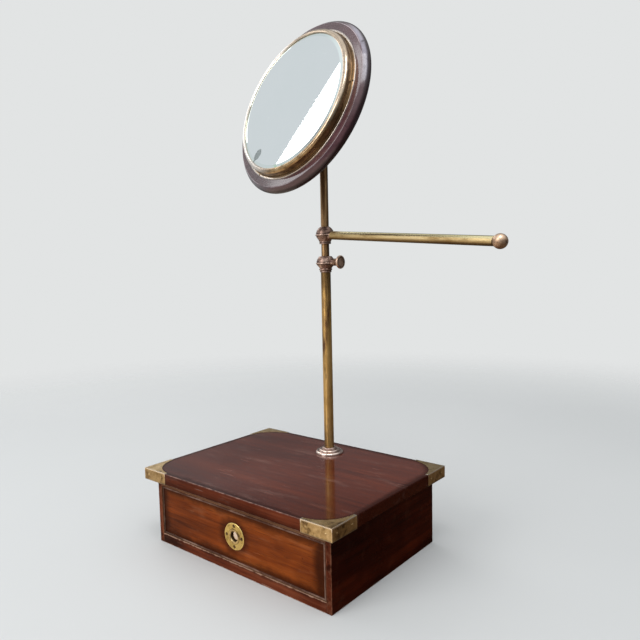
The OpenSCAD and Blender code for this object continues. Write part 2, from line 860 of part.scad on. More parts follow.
module hinge_lug() {
  foot = tongue_r + 4;
  boss_h = 2.2;
  plate_u = standoff - lug_t;
  color("#8a7040")
    on_mirror()
      difference() {
        union() {
          along_x(-tongue_t / 2, tongue_t)
            union() {
              circle(tongue_r);
              polygon([[-tongue_r, 0], [tongue_r, 0], [tongue_r, plate_u * 0.6], [foot, plate_u + 0.5],
                [-foot, plate_u + 0.5], [-tongue_r, plate_u * 0.6]]);
            }
          translate([0, 0, plate_u])
            rotate_extrude()
              polygon(concat(
                [[0, -boss_h], [foot + 1, -boss_h], [foot + 2.4, -boss_h + 0.8], [foot + 3, 0]],
                arc(lug_d / 2 - 1, 1, 1, -90, 0, 5),
                [[lug_d / 2, lug_t], [0, lug_t]]
              ));
        }
        translate([-foot, 0, 0]) rotate([0, 90, 0]) cylinder(d = tilt_d + 2 * run, h = 2 * foot);
        lug_screw_places() translate([0, 0, -past]) cylinder(d = lug_screw_d + 2 * snug, h = lug_t + 2 * past);
      }
}

module lug_screws() {
  head_r = 3;
  head_h = 1.6;
  slit = 0.8;
  shank = lug_t + 1;
  color("#94804c")
    on_mirror()
      lug_screw_places()
        difference() {
          union() {
            rotate_extrude($fn = 48) polygon(concat([[0, 0]], oval(0, 0, head_r, -head_h, 0, 90, 6)));
            cylinder(d = lug_screw_d, h = shank);
            translate([0, 0, shank]) cylinder(d1 = lug_screw_d, d2 = 1.2, h = disc_t - lug_screw_floor - 2);
          }
          translate([-head_r - past, -slit / 2, -head_h - past])
            cube([2 * head_r + 2 * past, slit, past + slit]);
        }
}

// Mirror, drawn round the local Z axis with the pivot at the origin

module mirror_back() {
  back_round = 5.5;
  edge = disc_bevel - 0.7;
  color("#5a2a1c")
    on_mirror()
      difference() {
        rotate_extrude($fn = 192)
          polygon(concat(
            [[0, standoff]],
            oval(rim_r - back_round, rim_u, back_round, rim_u - standoff, -90, 0, 8),
            [for (i = [1:6]) [rim_r - edge * pow(i / 6, 1.6), rim_u + (face_u - 0.7 - rim_u) * i / 6]],
            [[arris_r, face_u - 0.1], [arris_r - 0.5, face_u], [0, face_u]]
          ));
        lug_screw_places() translate([0, 0, lug_t - past])
          cylinder(d = lug_screw_d + 2 * snug, h = disc_t - lug_screw_floor + past);
        bezel_screw_places() translate([0, 0, -bezel_screw_l - snug])
          cylinder(d = bezel_screw_d + 2 * snug, h = bezel_screw_l + past);
      }
}

// Board that fills the bezel behind the glass
module backing_board() {
  color("#a8875a")
    on_mirror()
      translate([0, 0, face_u]) cylinder(r = backing_r, h = backing_top - face_u);
}

module mirror_glass() {
  flat_r = glass_r - glass_bevel_w;
  color("#b9c4c9")
    on_mirror()
      rotate_extrude($fn = 192)
        polygon([
          [0, glass_u - glass_t], [glass_r, glass_u - glass_t], [glass_r, glass_u - glass_bevel_h],
          [flat_r, glass_u], [0, glass_u]
        ]);
}

// Spun brass ring: flange, wall and a nose that curls in over the glass
module bezel() {
  top = face_u + bezel_flange_t;
  color("#a88a5c")
    on_mirror()
      difference() {
        rotate_extrude($fn = 192)
          polygon(concat(
            [[flange_r, face_u], [flange_r, top - 0.3], [flange_r - 0.3, top]],
            arc(wall_base_r + wall_fillet, top + wall_fillet, wall_fillet, 270, 180, 4),
            arc(nose_c, nose_u, nose_r, 0, lip_angle, 14),
            arc(nose_c, nose_u, nose_r - bezel_t, lip_angle, 0, 12),
            [[wall_base_r - bezel_t, face_u]]
          ));
        bezel_screw_places() translate([0, 0, -past - bezel_flange_t])
          cylinder(d = bezel_screw_d + 2 * snug, h = bezel_flange_t + 2 * past);
      }
}

// Places of the flange screws, on the flange's outer face
module bezel_screw_places() {
  for (i = [0:bezel_screws_n - 1])
    rotate([0, 0, bezel_screw_deg + 360 * i / bezel_screws_n])
      translate([bezel_screw_r, 0, face_u + bezel_flange_t]) children();
}

module bezel_screws() {
  head_r = 1.15;
  head_h = 0.8;
  slit = 0.35;
  color("#7a6238")
    on_mirror()
      bezel_screw_places()
        difference() {
          union() {
            rotate_extrude($fn = 32) polygon(concat([[0, 0]], oval(0, 0, head_r, head_h, 0, 90, 5)));
            translate([0, 0, -bezel_screw_l]) cylinder(d = bezel_screw_d, h = bezel_screw_l + head_h / 3);
          }
          translate([-head_r - past, -slit / 2, head_h / 2]) cube([2 * head_r + 2 * past, slit, head_h]);
        }
}

// Drawer

// Outline of one corner's dovetails in Y and Z, from low to high: they start at y = root and widen
// over a length len towards way, and grow widens them for their sockets
function tails(root, way, len, low, high, grow) =
  let (
    pitch = (high - low) / tail_count,
    narrow = pitch * 0.24 + grow,
    wide = narrow + tail_slope * (len + grow),
    tip = root + way * (len + grow)
  )
  [for (i = [0:tail_count - 1])
    let (mid = low + pitch * (i + 0.5))
      each [[root, mid - narrow], [tip, mid - wide], [tip, mid + wide], [root, mid + narrow]]];

function front_tails(grow) = tails(front_back_y, -1, front_lap, drawer_z, side_top, grow);

function back_tails(grow) = tails(drawer_back_y, 1, drawer_back_t, groove_top, side_top, grow);

function backwards(points) = [for (i = [len(points) - 1:-1:0]) points[i]];

// Waste of the sockets that take the tails: from is the face they are cut from
module tail_sockets(points, from) {
  along_x(drawer_in_x - snug, drawer_side_t + past)
    for (i = [0:4:len(points) - 4])
      polygon([
        [from, points[i][1]], points[i], points[i + 1],
        points[i + 2], points[i + 3], [from, points[i + 3][1]]
      ]);
}

module drawer_side() {
  difference() {
    along_x(drawer_in_x, drawer_side_t)
      polygon(concat(
        [[front_back_y, drawer_z]], front_tails(0), [[front_back_y, side_top]],
        [[drawer_back_y, side_top]], backwards(back_tails(0)), [[drawer_back_y, groove_top - snug]],
        [[drawer_end_y, groove_top - snug], [drawer_end_y, drawer_z]]
      ));
    block(
      [drawer_in_x - past, front_back_y, groove_z],
      [drawer_in_x + groove_d, drawer_end_y + past, groove_top]
    );
  }
}

module drawer_side_right() {
  color("#8a5a35") drawer_side();
}

module drawer_side_left() {
  color("#8a5a35") mirror([1, 0, 0]) drawer_side();
}

module drawer_back() {
  color("#8a5a35")
    difference() {
      block([-drawer_x, drawer_back_y, groove_top], [drawer_x, drawer_end_y, side_top - 1.5]);
      both_sides() tail_sockets(back_tails(snug), drawer_back_y - past);
    }
}

// The bottom slides in its grooves from behind, and its front edge is notched past the sides
module drawer_bottom() {
  wide = drawer_in_x + groove_d - snug;
  narrow = drawer_in_x - snug;
  color("#93663d")
    translate([0, 0, groove_z + snug])
      linear_extrude(drawer_bottom_t)
        union() {
          translate([-wide, front_back_y]) square([2 * wide, drawer_end_y - front_back_y]);
          translate([-narrow, front_back_y - groove_d + snug]) square([2 * narrow, groove_d]);
        }
}

module drawer_front() {
  color("#7a3f1f")
    difference() {
      block([-drawer_x, face_y, drawer_z], [drawer_x, front_back_y, front_top]);
      difference() {
        block(
          [-drawer_x - past, face_y - past, drawer_z - past],
          [drawer_x + past, face_y + bead_depth, front_top + past]
        );
        block(
          [-drawer_x + bead_w, face_y - 2 * past, drawer_z + bead_w],
          [drawer_x - bead_w, face_y + bead_depth + past, front_top - bead_w]
        );
      }
      both_sides() tail_sockets(front_tails(snug), front_back_y + past);
      block([-drawer_in_x, front_back_y - groove_d, groove_z], [drawer_in_x, front_back_y + past, groove_top]);
      on_plate() {
        translate([0, 0, -plate_let]) cylinder(d = plate_d + 2 * snug, h = plate_let + past);
        translate([0, 0, -socket_depth - socket_floor - snug]) cylinder(d = socket_d + 2 * snug, h = front_t);
        plate_screw_places() translate([0, 0, -plate_screw_l])
          cylinder(d = plate_screw_shank + 2 * snug, h = plate_screw_l + past);
      }
    }
}

// Section of the cock bead in Y and Z: flat behind, half round in front
module bead_section() {
  t = bead_w - snug;
  nose_y = face_y - bead_proud + t / 2;
  translate([nose_y, 0]) square([face_y + bead_depth - snug - nose_y, t]);
  translate([nose_y, t / 2]) circle(t / 2, $fn = 32);
}

// One mitred strip of bead with its outer edge on the X axis
module bead_strip(len) {
  reach = len / 2 - snug;
  intersection() {
    along_x(-len / 2, len) bead_section();
    along_y(face_y - bead_proud - past, bead_depth + bead_proud + 2 * past)
      polygon([
        [-reach - past, -past], [reach + past, -past],
        [reach - bead_w - past, bead_w + past], [-reach + bead_w + past, bead_w + past]
      ]);
  }
}

module cock_bead() {
  high = front_top - drawer_z;
  color("#3f2016") {
    translate([0, 0, drawer_z]) bead_strip(2 * drawer_x);
    translate([0, 0, front_top]) mirror([0, 0, 1]) bead_strip(2 * drawer_x);
    both_sides() translate([drawer_x, 0, (drawer_z + front_top) / 2]) rotate([0, -90, 0]) bead_strip(high);
  }
}

// Frame of the round plate: local Z points out of the drawer's face
module on_plate() {
  translate([plate_off, face_y, plate_z]) rotate([90, 0, 0]) children();
}

// Places of the plate's four screws, at the face of the wood
module plate_screw_places() {
  for (a = [0:90:270])
    rotate([0, 0, a]) translate([plate_screw_r, 0, 0]) children();
}

// Countersunk head and shank of a plate screw: grow widens it for its hole
module plate_screw(grow) {
  head_r = plate_screw_d / 2 + grow;
  shank_r = plate_screw_shank / 2 + grow;
  top = plate_t - plate_let;
  rotate_extrude($fn = 48)
    polygon([
      [0, -plate_screw_l + 1], [shank_r, -plate_screw_l + 1], [shank_r, top - 1.3],
      [head_r, top - 0.2], [head_r, top + (grow > 0 ? past : 0)], [0, top + (grow > 0 ? past : 0)]
    ]);
}

module socket_plate() {
  top = plate_t - plate_let;
  color("#a8944e")
    on_plate()
      difference() {
        rotate_extrude()
          polygon([[0, -plate_let], [plate_d / 2, -plate_let], [plate_d / 2, top - 0.3],
            [plate_d / 2 - 0.3, top], [0, top]]);
        translate([0, 0, -plate_let - past]) cylinder(d = socket_d + 2 * snug, h = plate_t + 2 * past);
        plate_screw_places() plate_screw(snug);
      }
}

// Blind threaded socket with a raised ring that rests on the plate
module socket() {
  top = plate_t - plate_let;
  ring_top = top + socket_ring_h;
  chamfer = 0.25;
  low = -socket_depth - socket_floor;
  color("#b09a58")
    on_plate()
      difference() {
        rotate_extrude()
          polygon([
            [0, low], [socket_d / 2, low], [socket_d / 2, top], [socket_ring_d / 2, top],
            [socket_ring_d / 2, ring_top - chamfer], [socket_ring_d / 2 - chamfer, ring_top], [0, ring_top]
          ]);
        translate([0, 0, -socket_depth]) cylinder(d = socket_bore, h = socket_depth + ring_top + past);
      }
}

module plate_screws() {
  slit = 0.7;
  top = plate_t - plate_let;
  color("#7d6c3c")
    on_plate()
      plate_screw_places()
        difference() {
          plate_screw(0);
          rotate([0, 0, 70]) translate([-plate_screw_d, -slit / 2, top - 0.6])
            cube([2 * plate_screw_d, slit, past]);
        }
}

module corner_front_left() {
  brass_corner(-1, -1);
}

module corner_front_right() {
  brass_corner(1, -1);
}

module corner_back_left() {
  brass_corner(-1, 1);
}

module corner_back_right() {
  brass_corner(1, 1);
}

bottom_board();
side_left();
side_right();
back_panel();
top_rail();
kicker_strips();
drawer_stops();
top_board();
corner_front_left();
corner_front_right();
corner_back_left();
corner_back_right();
corner_pins();
pole_flange();
outer_tube();
pole_nut();
clamp_collar();
clamp_bush();
thumbscrew();
inner_rod();
arm_collar();
arm();
arm_ball();
rod_fork();
tilt_screw();
tilt_nut();
hinge_lug();
lug_screws();
mirror_back();
backing_board();
mirror_glass();
bezel();
bezel_screws();
drawer_front();
cock_bead();
drawer_side_left();
drawer_side_right();
drawer_back();
drawer_bottom();
socket_plate();
socket();
plate_screws();
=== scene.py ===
import math

import bmesh
import bpy
from mathutils import Matrix, Vector


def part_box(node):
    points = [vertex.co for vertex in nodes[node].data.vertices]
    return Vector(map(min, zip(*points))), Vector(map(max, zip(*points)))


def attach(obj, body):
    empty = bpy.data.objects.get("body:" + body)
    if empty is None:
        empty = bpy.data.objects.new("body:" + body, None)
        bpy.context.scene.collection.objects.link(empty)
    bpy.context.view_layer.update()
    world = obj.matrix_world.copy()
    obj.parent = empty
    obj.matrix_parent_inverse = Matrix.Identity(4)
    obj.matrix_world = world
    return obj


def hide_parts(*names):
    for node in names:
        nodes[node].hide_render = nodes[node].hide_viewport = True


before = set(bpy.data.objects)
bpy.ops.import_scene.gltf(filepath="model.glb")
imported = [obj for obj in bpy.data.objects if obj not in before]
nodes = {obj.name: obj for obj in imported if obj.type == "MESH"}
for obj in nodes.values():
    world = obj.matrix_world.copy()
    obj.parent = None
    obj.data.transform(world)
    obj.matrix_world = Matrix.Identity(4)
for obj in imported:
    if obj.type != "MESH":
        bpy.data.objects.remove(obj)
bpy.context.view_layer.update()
mm = 0.001

# the pole stands at the back of the box; the mirror and the arm are turned with the rod
pole = {
    "y": 74, "thumbZ": 355.05, "turned": -8.4,
    "pivotZ": 535.5, "tipped": 19.1, "armZ": 390.68, "droop": 3.9,
}
plate = {"x": -1.8, "face": -101.4, "z": 43.4}


def shift(x, y, z):
    return Matrix.Translation((x * mm, y * mm, z * mm))


def turn(degrees, axis):
    return Matrix.Rotation(math.radians(degrees), 4, axis)


home = Matrix()
standing = shift(0, pole["y"], 0)
turned = standing @ turn(pole["turned"], "Z")
mirrorPlace = turned @ shift(0, 0, pole["pivotZ"]) @ turn(90 - pole["tipped"], "X")
armPlace = turned @ shift(0, 0, pole["armZ"]) @ turn(90 + pole["droop"], "Y")
thumbPlace = standing @ shift(0, 0, pole["thumbZ"]) @ turn(90, "Y")
platePlace = shift(plate["x"], plate["face"], plate["z"]) @ turn(90, "X")


# camera, at the photograph's viewing angle

camera = {
    "place": (0.51144, -0.56139, 0.35713), "lens": 34.594,
    "azimuth": 39.463, "elevation": 5.492, "roll": -1.222,
}


def makeCamera(look):
    az, el, roll = (math.radians(look[k]) for k in ("azimuth", "elevation", "roll"))
    back = Vector((math.sin(az) * math.cos(el), -math.cos(az) * math.cos(el), math.sin(el)))
    right = (-back).cross(Vector((0, 0, 1))).normalized()
    up = right.cross(-back)
    right, up = math.cos(roll) * right + math.sin(roll) * up, math.cos(roll) * up - math.sin(roll) * right
    data = bpy.data.cameras.new("camera")
    data.sensor_width = 36
    data.lens = look["lens"]
    data.clip_start = 0.01
    made = bpy.data.objects.new("camera", data)
    bpy.context.scene.collection.objects.link(made)
    made.matrix_world = Matrix.Translation(look["place"]) @ Matrix((right, up, back)).transposed().to_4x4()
    bpy.context.scene.camera = made


makeCamera(camera)
print("camera in place")


# shader helpers

class Wire:
    # an output socket: arithmetic on it adds Math nodes
    def __init__(self, graph, socket):
        self.graph = graph
        self.socket = socket

    def maths(self, operation, *values):
        return self.graph.node("ShaderNodeMath", {"operation": operation}, dict(enumerate(values)))

    def __add__(self, other):
        return self.maths("ADD", self, other)

    def __sub__(self, other):
        return self.maths("SUBTRACT", self, other)

    def __rsub__(self, other):
        return self.maths("SUBTRACT", other, self)

    def __mul__(self, other):
        return self.maths("MULTIPLY", self, other)

    def __pow__(self, other):
        return self.maths("POWER", self, other)

    def __abs__(self):
        return self.maths("ABSOLUTE", self)

    __radd__ = __add__
    __rmul__ = __mul__

    def least(self, other):
        return self.maths("MINIMUM", self, other)

    def most(self, other):
        return self.maths("MAXIMUM", self, other)

    def rise(self, low, high):
        # 0 below low and 1 above high; low may be the larger one, and then it falls
        first, last = (1.0, 0.0) if low > high else (0.0, 1.0)
        return self.graph.node("ShaderNodeMapRange", {"interpolation_type": "SMOOTHSTEP"}, {
            "Value": self, "From Min": min(low, high), "From Max": max(low, high),
            "To Min": first, "To Max": last,
        })

    def near(self, value, width):
        # 1 at the value, 0 further away than width
        return abs(self - value).rise(width, 0)


class Graph:
    # a node tree under construction
    def __init__(self, tree):
        self.tree = tree
        tree.nodes.clear()

    def plug(self, socket, value):
        if isinstance(value, Wire):
            self.tree.links.new(value.socket, socket)
        elif socket.type == "RGBA" and len(value) == 3:
            socket.default_value = (*value, 1)
        else:
            socket.default_value = value

    def node(self, kind, settings=None, values=None, out=0):
        # out names the output that is used, and is None for a node that has none
        made = self.tree.nodes.new(kind)
        for key, value in (settings or {}).items():
            if key == "stops":
                ramp = made.color_ramp
                while len(ramp.elements) < len(value):
                    ramp.elements.new(1.0)
                for element, (at, colour) in zip(ramp.elements, value):
                    element.position = at
                    element.color = (*colour, 1)
            else:
                setattr(made, key, value)
        for key, value in (values or {}).items():
            self.plug(made.inputs[key], value)
        return None if out is None else Wire(self, made.outputs[out])

    def mix(self, share, first, second):
        values = {0: share, 6: first, 7: second}
        return self.node("ShaderNodeMix", {"data_type": "RGBA"}, values, out=2)

    def dot(self, first, second):
        settings = {"operation": "DOT_PRODUCT"}
        return self.node("ShaderNodeVectorMath", settings, {0: first, 1: second}, out="Value")


class Finish(Graph):
    # a material; point, x, y, z and r are in the piece's own place
    def __init__(self, name, place=home):
        self.material = bpy.data.materials.new(name)
        self.material.use_nodes = True
        super().__init__(self.material.node_tree)
        self.point = self.node("ShaderNodeMapping", {"vector_type": "TEXTURE"}, {
            "Vector": self.node("ShaderNodeTexCoord", out="Object"),
            "Location": place.to_translation(), "Rotation": place.to_euler(),
        })
        self.x, self.y, self.z = (self.dot(self.point, way) for way in ((1, 0, 0), (0, 1, 0), (0, 0, 1)))
        self.r = (self.x * self.x + self.y * self.y) ** 0.5

    def stretch(self, scale, turned=(0, 0, 0)):
        values = {"Vector": self.point, "Scale": scale, "Rotation": turned}
        return self.node("ShaderNodeMapping", values=values)

    def noise(self, scale, point=None, detail=3.0, roughness=0.55, warp=0.0):
        # value about 0.5, mostly between 0.3 and 0.7
        return self.node("ShaderNodeTexNoise", values={
            "Vector": point or self.point, "Scale": scale, "Detail": detail,
            "Roughness": roughness, "Distortion": warp,
        })

    def wander(self, scale, detail, reach, roughness=0.55):
        # moves a border to and fro, mostly by up to a fifth of reach
        return (self.noise(scale, detail=detail, roughness=roughness) - 0.5) * reach

    def spots(self, scale, point=None, size=0.5):
        # 1 in the middle of scattered cells, 0 outside
        values = {"Vector": point or self.point, "Scale": scale, "Randomness": 1.0}
        far = self.node("ShaderNodeTexVoronoi", {"feature": "F1"}, values, out="Distance")
        return far.rise(size, size * 0.35)

    def scratches(self, turned, scale=18, fine=420):
        lines = self.noise(1.0, self.stretch((scale, fine, fine), turned), 1, 0.3).rise(0.735, 0.78)
        return lines * self.noise(24, detail=1).rise(0.5, 0.6)

    def ramp(self, value, *stops):
        return self.node("ShaderNodeValToRGB", {"stops": stops}, {"Fac": value})

    def inside(self, low, high):
        # on a box's face: distance from that face's nearest edge
        a, b, c = ((p - low[i]).least(high[i] - p) for i, p in enumerate((self.x, self.y, self.z)))
        return (a.least(b)).most((a.most(b)).least(c))

    def finish(self, colour, roughness, metallic=0.0, bump=None, depth=0.0002, faded=None, **fixed):
        # faded is the share that is see-through; fixed holds other sockets of the shader by name
        sockets = {"Base Color": colour, "Roughness": roughness, "Metallic": metallic, "IOR": 1.45, **fixed}
        if bump is not None:
            values = {"Strength": 1.0, "Distance": depth, "Height": bump}
            sockets["Normal"] = self.node("ShaderNodeBump", values=values)
        shown = self.node("ShaderNodeBsdfPrincipled", values=sockets)
        if faded is not None:
            clear = self.node("ShaderNodeBsdfTransparent")
            shown = self.node("ShaderNodeMixShader", values={0: faded, 1: shown, 2: clear})
        self.node("ShaderNodeOutputMaterial", values={0: shown}, out=None)
        return self.material


# wood

polish = {
    "top": {
        "dark": (0.050, 0.0065, 0.002), "mid": (0.098, 0.0145, 0.004), "light": (0.152, 0.026, 0.007),
        "wornAndLit": (0.35, 0.21, 0.17), "along": 0, "rough": 0.22, "specular": 0.04, "coat": 0.8,
    },
    "front": {
        "dark": (0.070, 0.013, 0.003), "mid": (0.215, 0.042, 0.0065), "light": (0.36, 0.088, 0.014),
        "wornAndLit": (0.46, 0.20, 0.10), "along": 0, "rough": 0.36, "specular": 0.05, "coat": 0.0,
    },
    "stile": {
        "dark": (0.030, 0.007, 0.004), "mid": (0.120, 0.024, 0.009), "light": (0.24, 0.068, 0.030),
        "wornAndLit": (0.44, 0.26, 0.18), "along": 0, "rough": 0.42, "specular": 0.05, "coat": 0.0,
    },
    # the sides and the back: the same mahogany painted far darker than the front, as painted shade
    "side": {
        "dark": (0.009, 0.0014, 0.0007), "mid": (0.027, 0.0032, 0.0009), "light": (0.060, 0.0078, 0.0018),
        "wornAndLit": (0.20, 0.08, 0.045), "along": 1, "rough": 0.30, "specular": 0.03, "coat": 0.0,
        "marked": 0.12,
    },
    "rail": {
        "dark": (0.060, 0.022, 0.010), "mid": (0.14, 0.056, 0.026), "light": (0.23, 0.11, 0.055),
        "wornAndLit": (0.32, 0.17, 0.10), "along": 0, "rough": 0.5, "specular": 0.04, "coat": 0.0,
    },
    "bead": {
        "dark": (0.020, 0.006, 0.003), "mid": (0.050, 0.015, 0.007), "light": (0.09, 0.028, 0.013),
        "wornAndLit": (0.46, 0.28, 0.21), "along": 0, "rough": 0.38, "specular": 0.08, "coat": 0.0,
    },
    "disc": {
        "dark": (0.042, 0.013, 0.016), "mid": (0.074, 0.027, 0.032), "light": (0.106, 0.046, 0.053),
        "wornAndLit": (0.66, 0.57, 0.60), "along": 0, "rough": 0.24, "specular": 0.3, "coat": 0.95,
        "depth": 0.00003, "marked": 0.08,
    },
    "discBack": {
        "dark": (0.042, 0.011, 0.006), "mid": (0.105, 0.030, 0.014), "light": (0.19, 0.066, 0.030),
        "along": 0,
    },
    "paintedSheen": {
        "dark": (0.20, 0.18, 0.23), "mid": (0.33, 0.31, 0.38), "light": (0.44, 0.42, 0.50),
        "along": 0,
    },
}
drawerTones = {"dark": (0.13, 0.062, 0.028), "mid": (0.27, 0.145, 0.07), "light": (0.40, 0.24, 0.125)}
bare = {
    "drawer": {**drawerTones, "along": 1},
    "across": {**drawerTones, "along": 0},
    "carcass": {
        "dark": (0.09, 0.045, 0.022), "mid": (0.19, 0.10, 0.05), "light": (0.30, 0.17, 0.09),
        "along": 0,
    },
    "packing": {
        "dark": (0.22, 0.14, 0.075), "mid": (0.40, 0.27, 0.15), "light": (0.55, 0.40, 0.24),
        "along": 1,
    },
}


def grain(f, look):
    # broad figure, fine fibres, pores and the colour they make
    scales = [[20, 20, 20], [230, 230, 230], [900, 900, 900]]
    for scale, long in zip(scales, (3, 9, 55)):
        scale[look["along"]] = long
    broad = f.noise(1.0, f.stretch(scales[0]), 3, 0.5, 0.6)
    fine = f.noise(1.0, f.stretch(scales[1]), 4, 0.6, 0.3)
    pores = f.noise(1.0, f.stretch(scales[2]), 1, 0.4)
    tone = broad * 0.9 + fine * 0.6 - 0.25
    colour = f.ramp(tone, (0.25, look["dark"]), (0.5, look["mid"]), (0.78, look["light"]))
    return f.mix(pores.rise(0.60, 0.72) * 0.45, colour, look["dark"]), fine, pores


def boxRub(low, high, width=0.0009, ragged=0.0042):
    # bare arrises of a box
    def share(f):
        wander = f.wander(160, 5, -ragged, 0.65)
        return (f.inside(low, high) + wander).rise(width, 0.0001)

    return share


def mahogany(name, look, rubAndHighlight, shade=None, inner=None, place=home, zones=()):
    # the share functions give the worn arrises, which on the disc and the bead are also a painted highlight,
    # the darkened share, old polish in places and painted shade in others, and the never polished share;
    # zones are pairs of a share and the look that it has there
    f = Finish(name, place)
    colour, fine, pores = grain(f, look)
    ebony = [c * 0.4 for c in look["dark"]]
    gloss, marked = 1.0, look.get("marked", 0.4)
    for share, other in zones:
        here = share(f)
        colour = f.mix(here, colour, grain(f, other)[0])
        gloss = gloss * (1 - here) if other.get("coat") == 0 else gloss
    blotch = f.noise(11, detail=3, roughness=0.6)
    colour = f.mix(blotch.rise(0.50, 0.72) * 0.45, colour, look["dark"])
    if shade:
        dark = shade(f)
        colour = f.mix(dark, colour, ebony)
        gloss = (1 - dark * 0.8) * gloss
        marked = (1 - dark * 0.75) * marked
    wornAndLit = rubAndHighlight(f) if rubAndHighlight else 0
    colour = f.mix(wornAndLit * 0.7, colour, look["wornAndLit"])
    scratch = f.scratches((0.3, 0.5, 0.35)).most(f.scratches((1.1, 0.2, 2.0), 30, 700) * 0.8)
    nicks = f.spots(75, size=0.12) * f.noise(9, detail=1).rise(0.5, 0.62)
    haze = f.noise(1.0, f.stretch((14, 60, 60)), 5, 0.65).rise(0.54, 0.70)
    colour = f.mix(haze * marked * 0.4, colour, look["wornAndLit"])
    colour = f.mix(scratch * marked, colour, look["wornAndLit"])
    colour = f.mix(nicks * 0.5, colour, ebony)
    smear = f.noise(38, detail=4, roughness=0.6)
    rough = look["rough"] + (smear - 0.5) * 0.18 + wornAndLit * 0.25 + scratch * 0.15
    height = fine * 0.35 - pores.rise(0.58, 0.72) * 0.8 - scratch * 0.7 - nicks * 1.5 - wornAndLit * 0.8
    height = height + f.noise(45, detail=2) * 0.7
    gloss = (1 - wornAndLit) * gloss
    if inner:
        hidden = inner(f)
        raw = {**bare["carcass"], "along": look["along"]}
        colour = f.mix(hidden, colour, grain(f, raw)[0])
        rough = rough + hidden * 0.4
        gloss = gloss * (1 - hidden)
    return f.finish(colour, rough, bump=height, depth=look.get("depth", 0.00012), **{
        "Coat Weight": gloss * look["coat"], "Coat Roughness": 0.08, "Specular IOR Level": look["specular"],
    })


def rawWood(name, look, place=home):
    f = Finish(name, place)
    colour, fine, pores = grain(f, look)
    dirt = f.noise(14, detail=5, roughness=0.65).rise(0.5, 0.72)
    colour = f.mix(dirt * 0.45, colour, [c * 0.5 for c in look["dark"]])
    ink = f.spots(22, size=0.16) * f.noise(5, detail=1).rise(0.52, 0.6)
    colour = f.mix(ink * 0.6, colour, (0.02, 0.014, 0.012))
    height = fine * 0.7 - pores.rise(0.56, 0.72) * 1.2 + f.noise(60, detail=3) * 0.6
    rough = 0.68 + (fine - 0.5) * 0.3 + dirt * 0.1
    return f.finish(colour, rough, bump=height, depth=0.00018, **{"Specular IOR Level": 0.25})


# brass

metals = {
    "strap": {
        "clean": (0.74, 0.55, 0.30), "aged": (0.46, 0.31, 0.14), "dark": (0.12, 0.07, 0.03),
        "rubbedAndLit": (0.98, 0.86, 0.72), "rough": 0.36, "scale": 130,
    },
    "plate": {
        "clean": (0.78, 0.62, 0.24), "aged": (0.60, 0.45, 0.15), "dark": (0.14, 0.09, 0.035),
        "rough": 0.34, "scale": 160,
    },
    "socket": {
        "clean": (0.76, 0.60, 0.30), "aged": (0.55, 0.40, 0.18), "dark": (0.12, 0.07, 0.035),
        "rubbedAndLit": (0.96, 0.86, 0.80), "rough": 0.32, "scale": 160,
    },
    "pole": {
        "clean": (0.90, 0.62, 0.27), "aged": (0.62, 0.375, 0.125), "dark": (0.15, 0.075, 0.04),
        "rough": 0.34, "spread": 0.85, "scale": 70,
    },
    "rod": {
        "clean": (0.62, 0.40, 0.20), "aged": (0.35, 0.20, 0.09), "dark": (0.10, 0.05, 0.03),
        "rough": 0.34, "spread": 0.85, "scale": 70,
    },
    "collar": {
        "clean": (0.52, 0.37, 0.30), "aged": (0.30, 0.19, 0.15), "dark": (0.10, 0.055, 0.045),
        "rough": 0.42, "spread": 0.6, "scale": 200,
    },
    "thumb": {
        "clean": (0.74, 0.53, 0.40), "aged": (0.50, 0.33, 0.24), "dark": (0.14, 0.08, 0.055),
        "rough": 0.50, "scale": 200,
    },
    "arm": {
        "clean": (0.90, 0.72, 0.42), "aged": (0.72, 0.53, 0.26), "dark": (0.34, 0.21, 0.08),
        "rough": 0.32, "scale": 70,
    },
    "ball": {
        "clean": (0.74, 0.53, 0.38), "aged": (0.48, 0.31, 0.20), "dark": (0.10, 0.05, 0.035),
        "rough": 0.46, "scale": 220,
    },
    "bezel": {
        "clean": (0.64, 0.47, 0.29), "aged": (0.40, 0.26, 0.13), "dark": (0.12, 0.07, 0.035),
        "rubbedAndLit": (0.90, 0.82, 0.76), "rough": 0.22, "scale": 60,
    },
    "flange": {
        "clean": (0.80, 0.63, 0.55), "aged": (0.52, 0.37, 0.31), "dark": (0.18, 0.105, 0.085),
        "rough": 0.30, "spread": 0.7, "scale": 220,
    },
    "screw": {
        "clean": (0.30, 0.20, 0.10), "aged": (0.13, 0.08, 0.04), "dark": (0.04, 0.025, 0.015),
        "rough": 0.42, "scale": 500,
    },
    "hidden": {
        "clean": (0.52, 0.38, 0.18), "aged": (0.30, 0.20, 0.09), "dark": (0.10, 0.06, 0.03),
        "rough": 0.36, "scale": 150,
    },
}


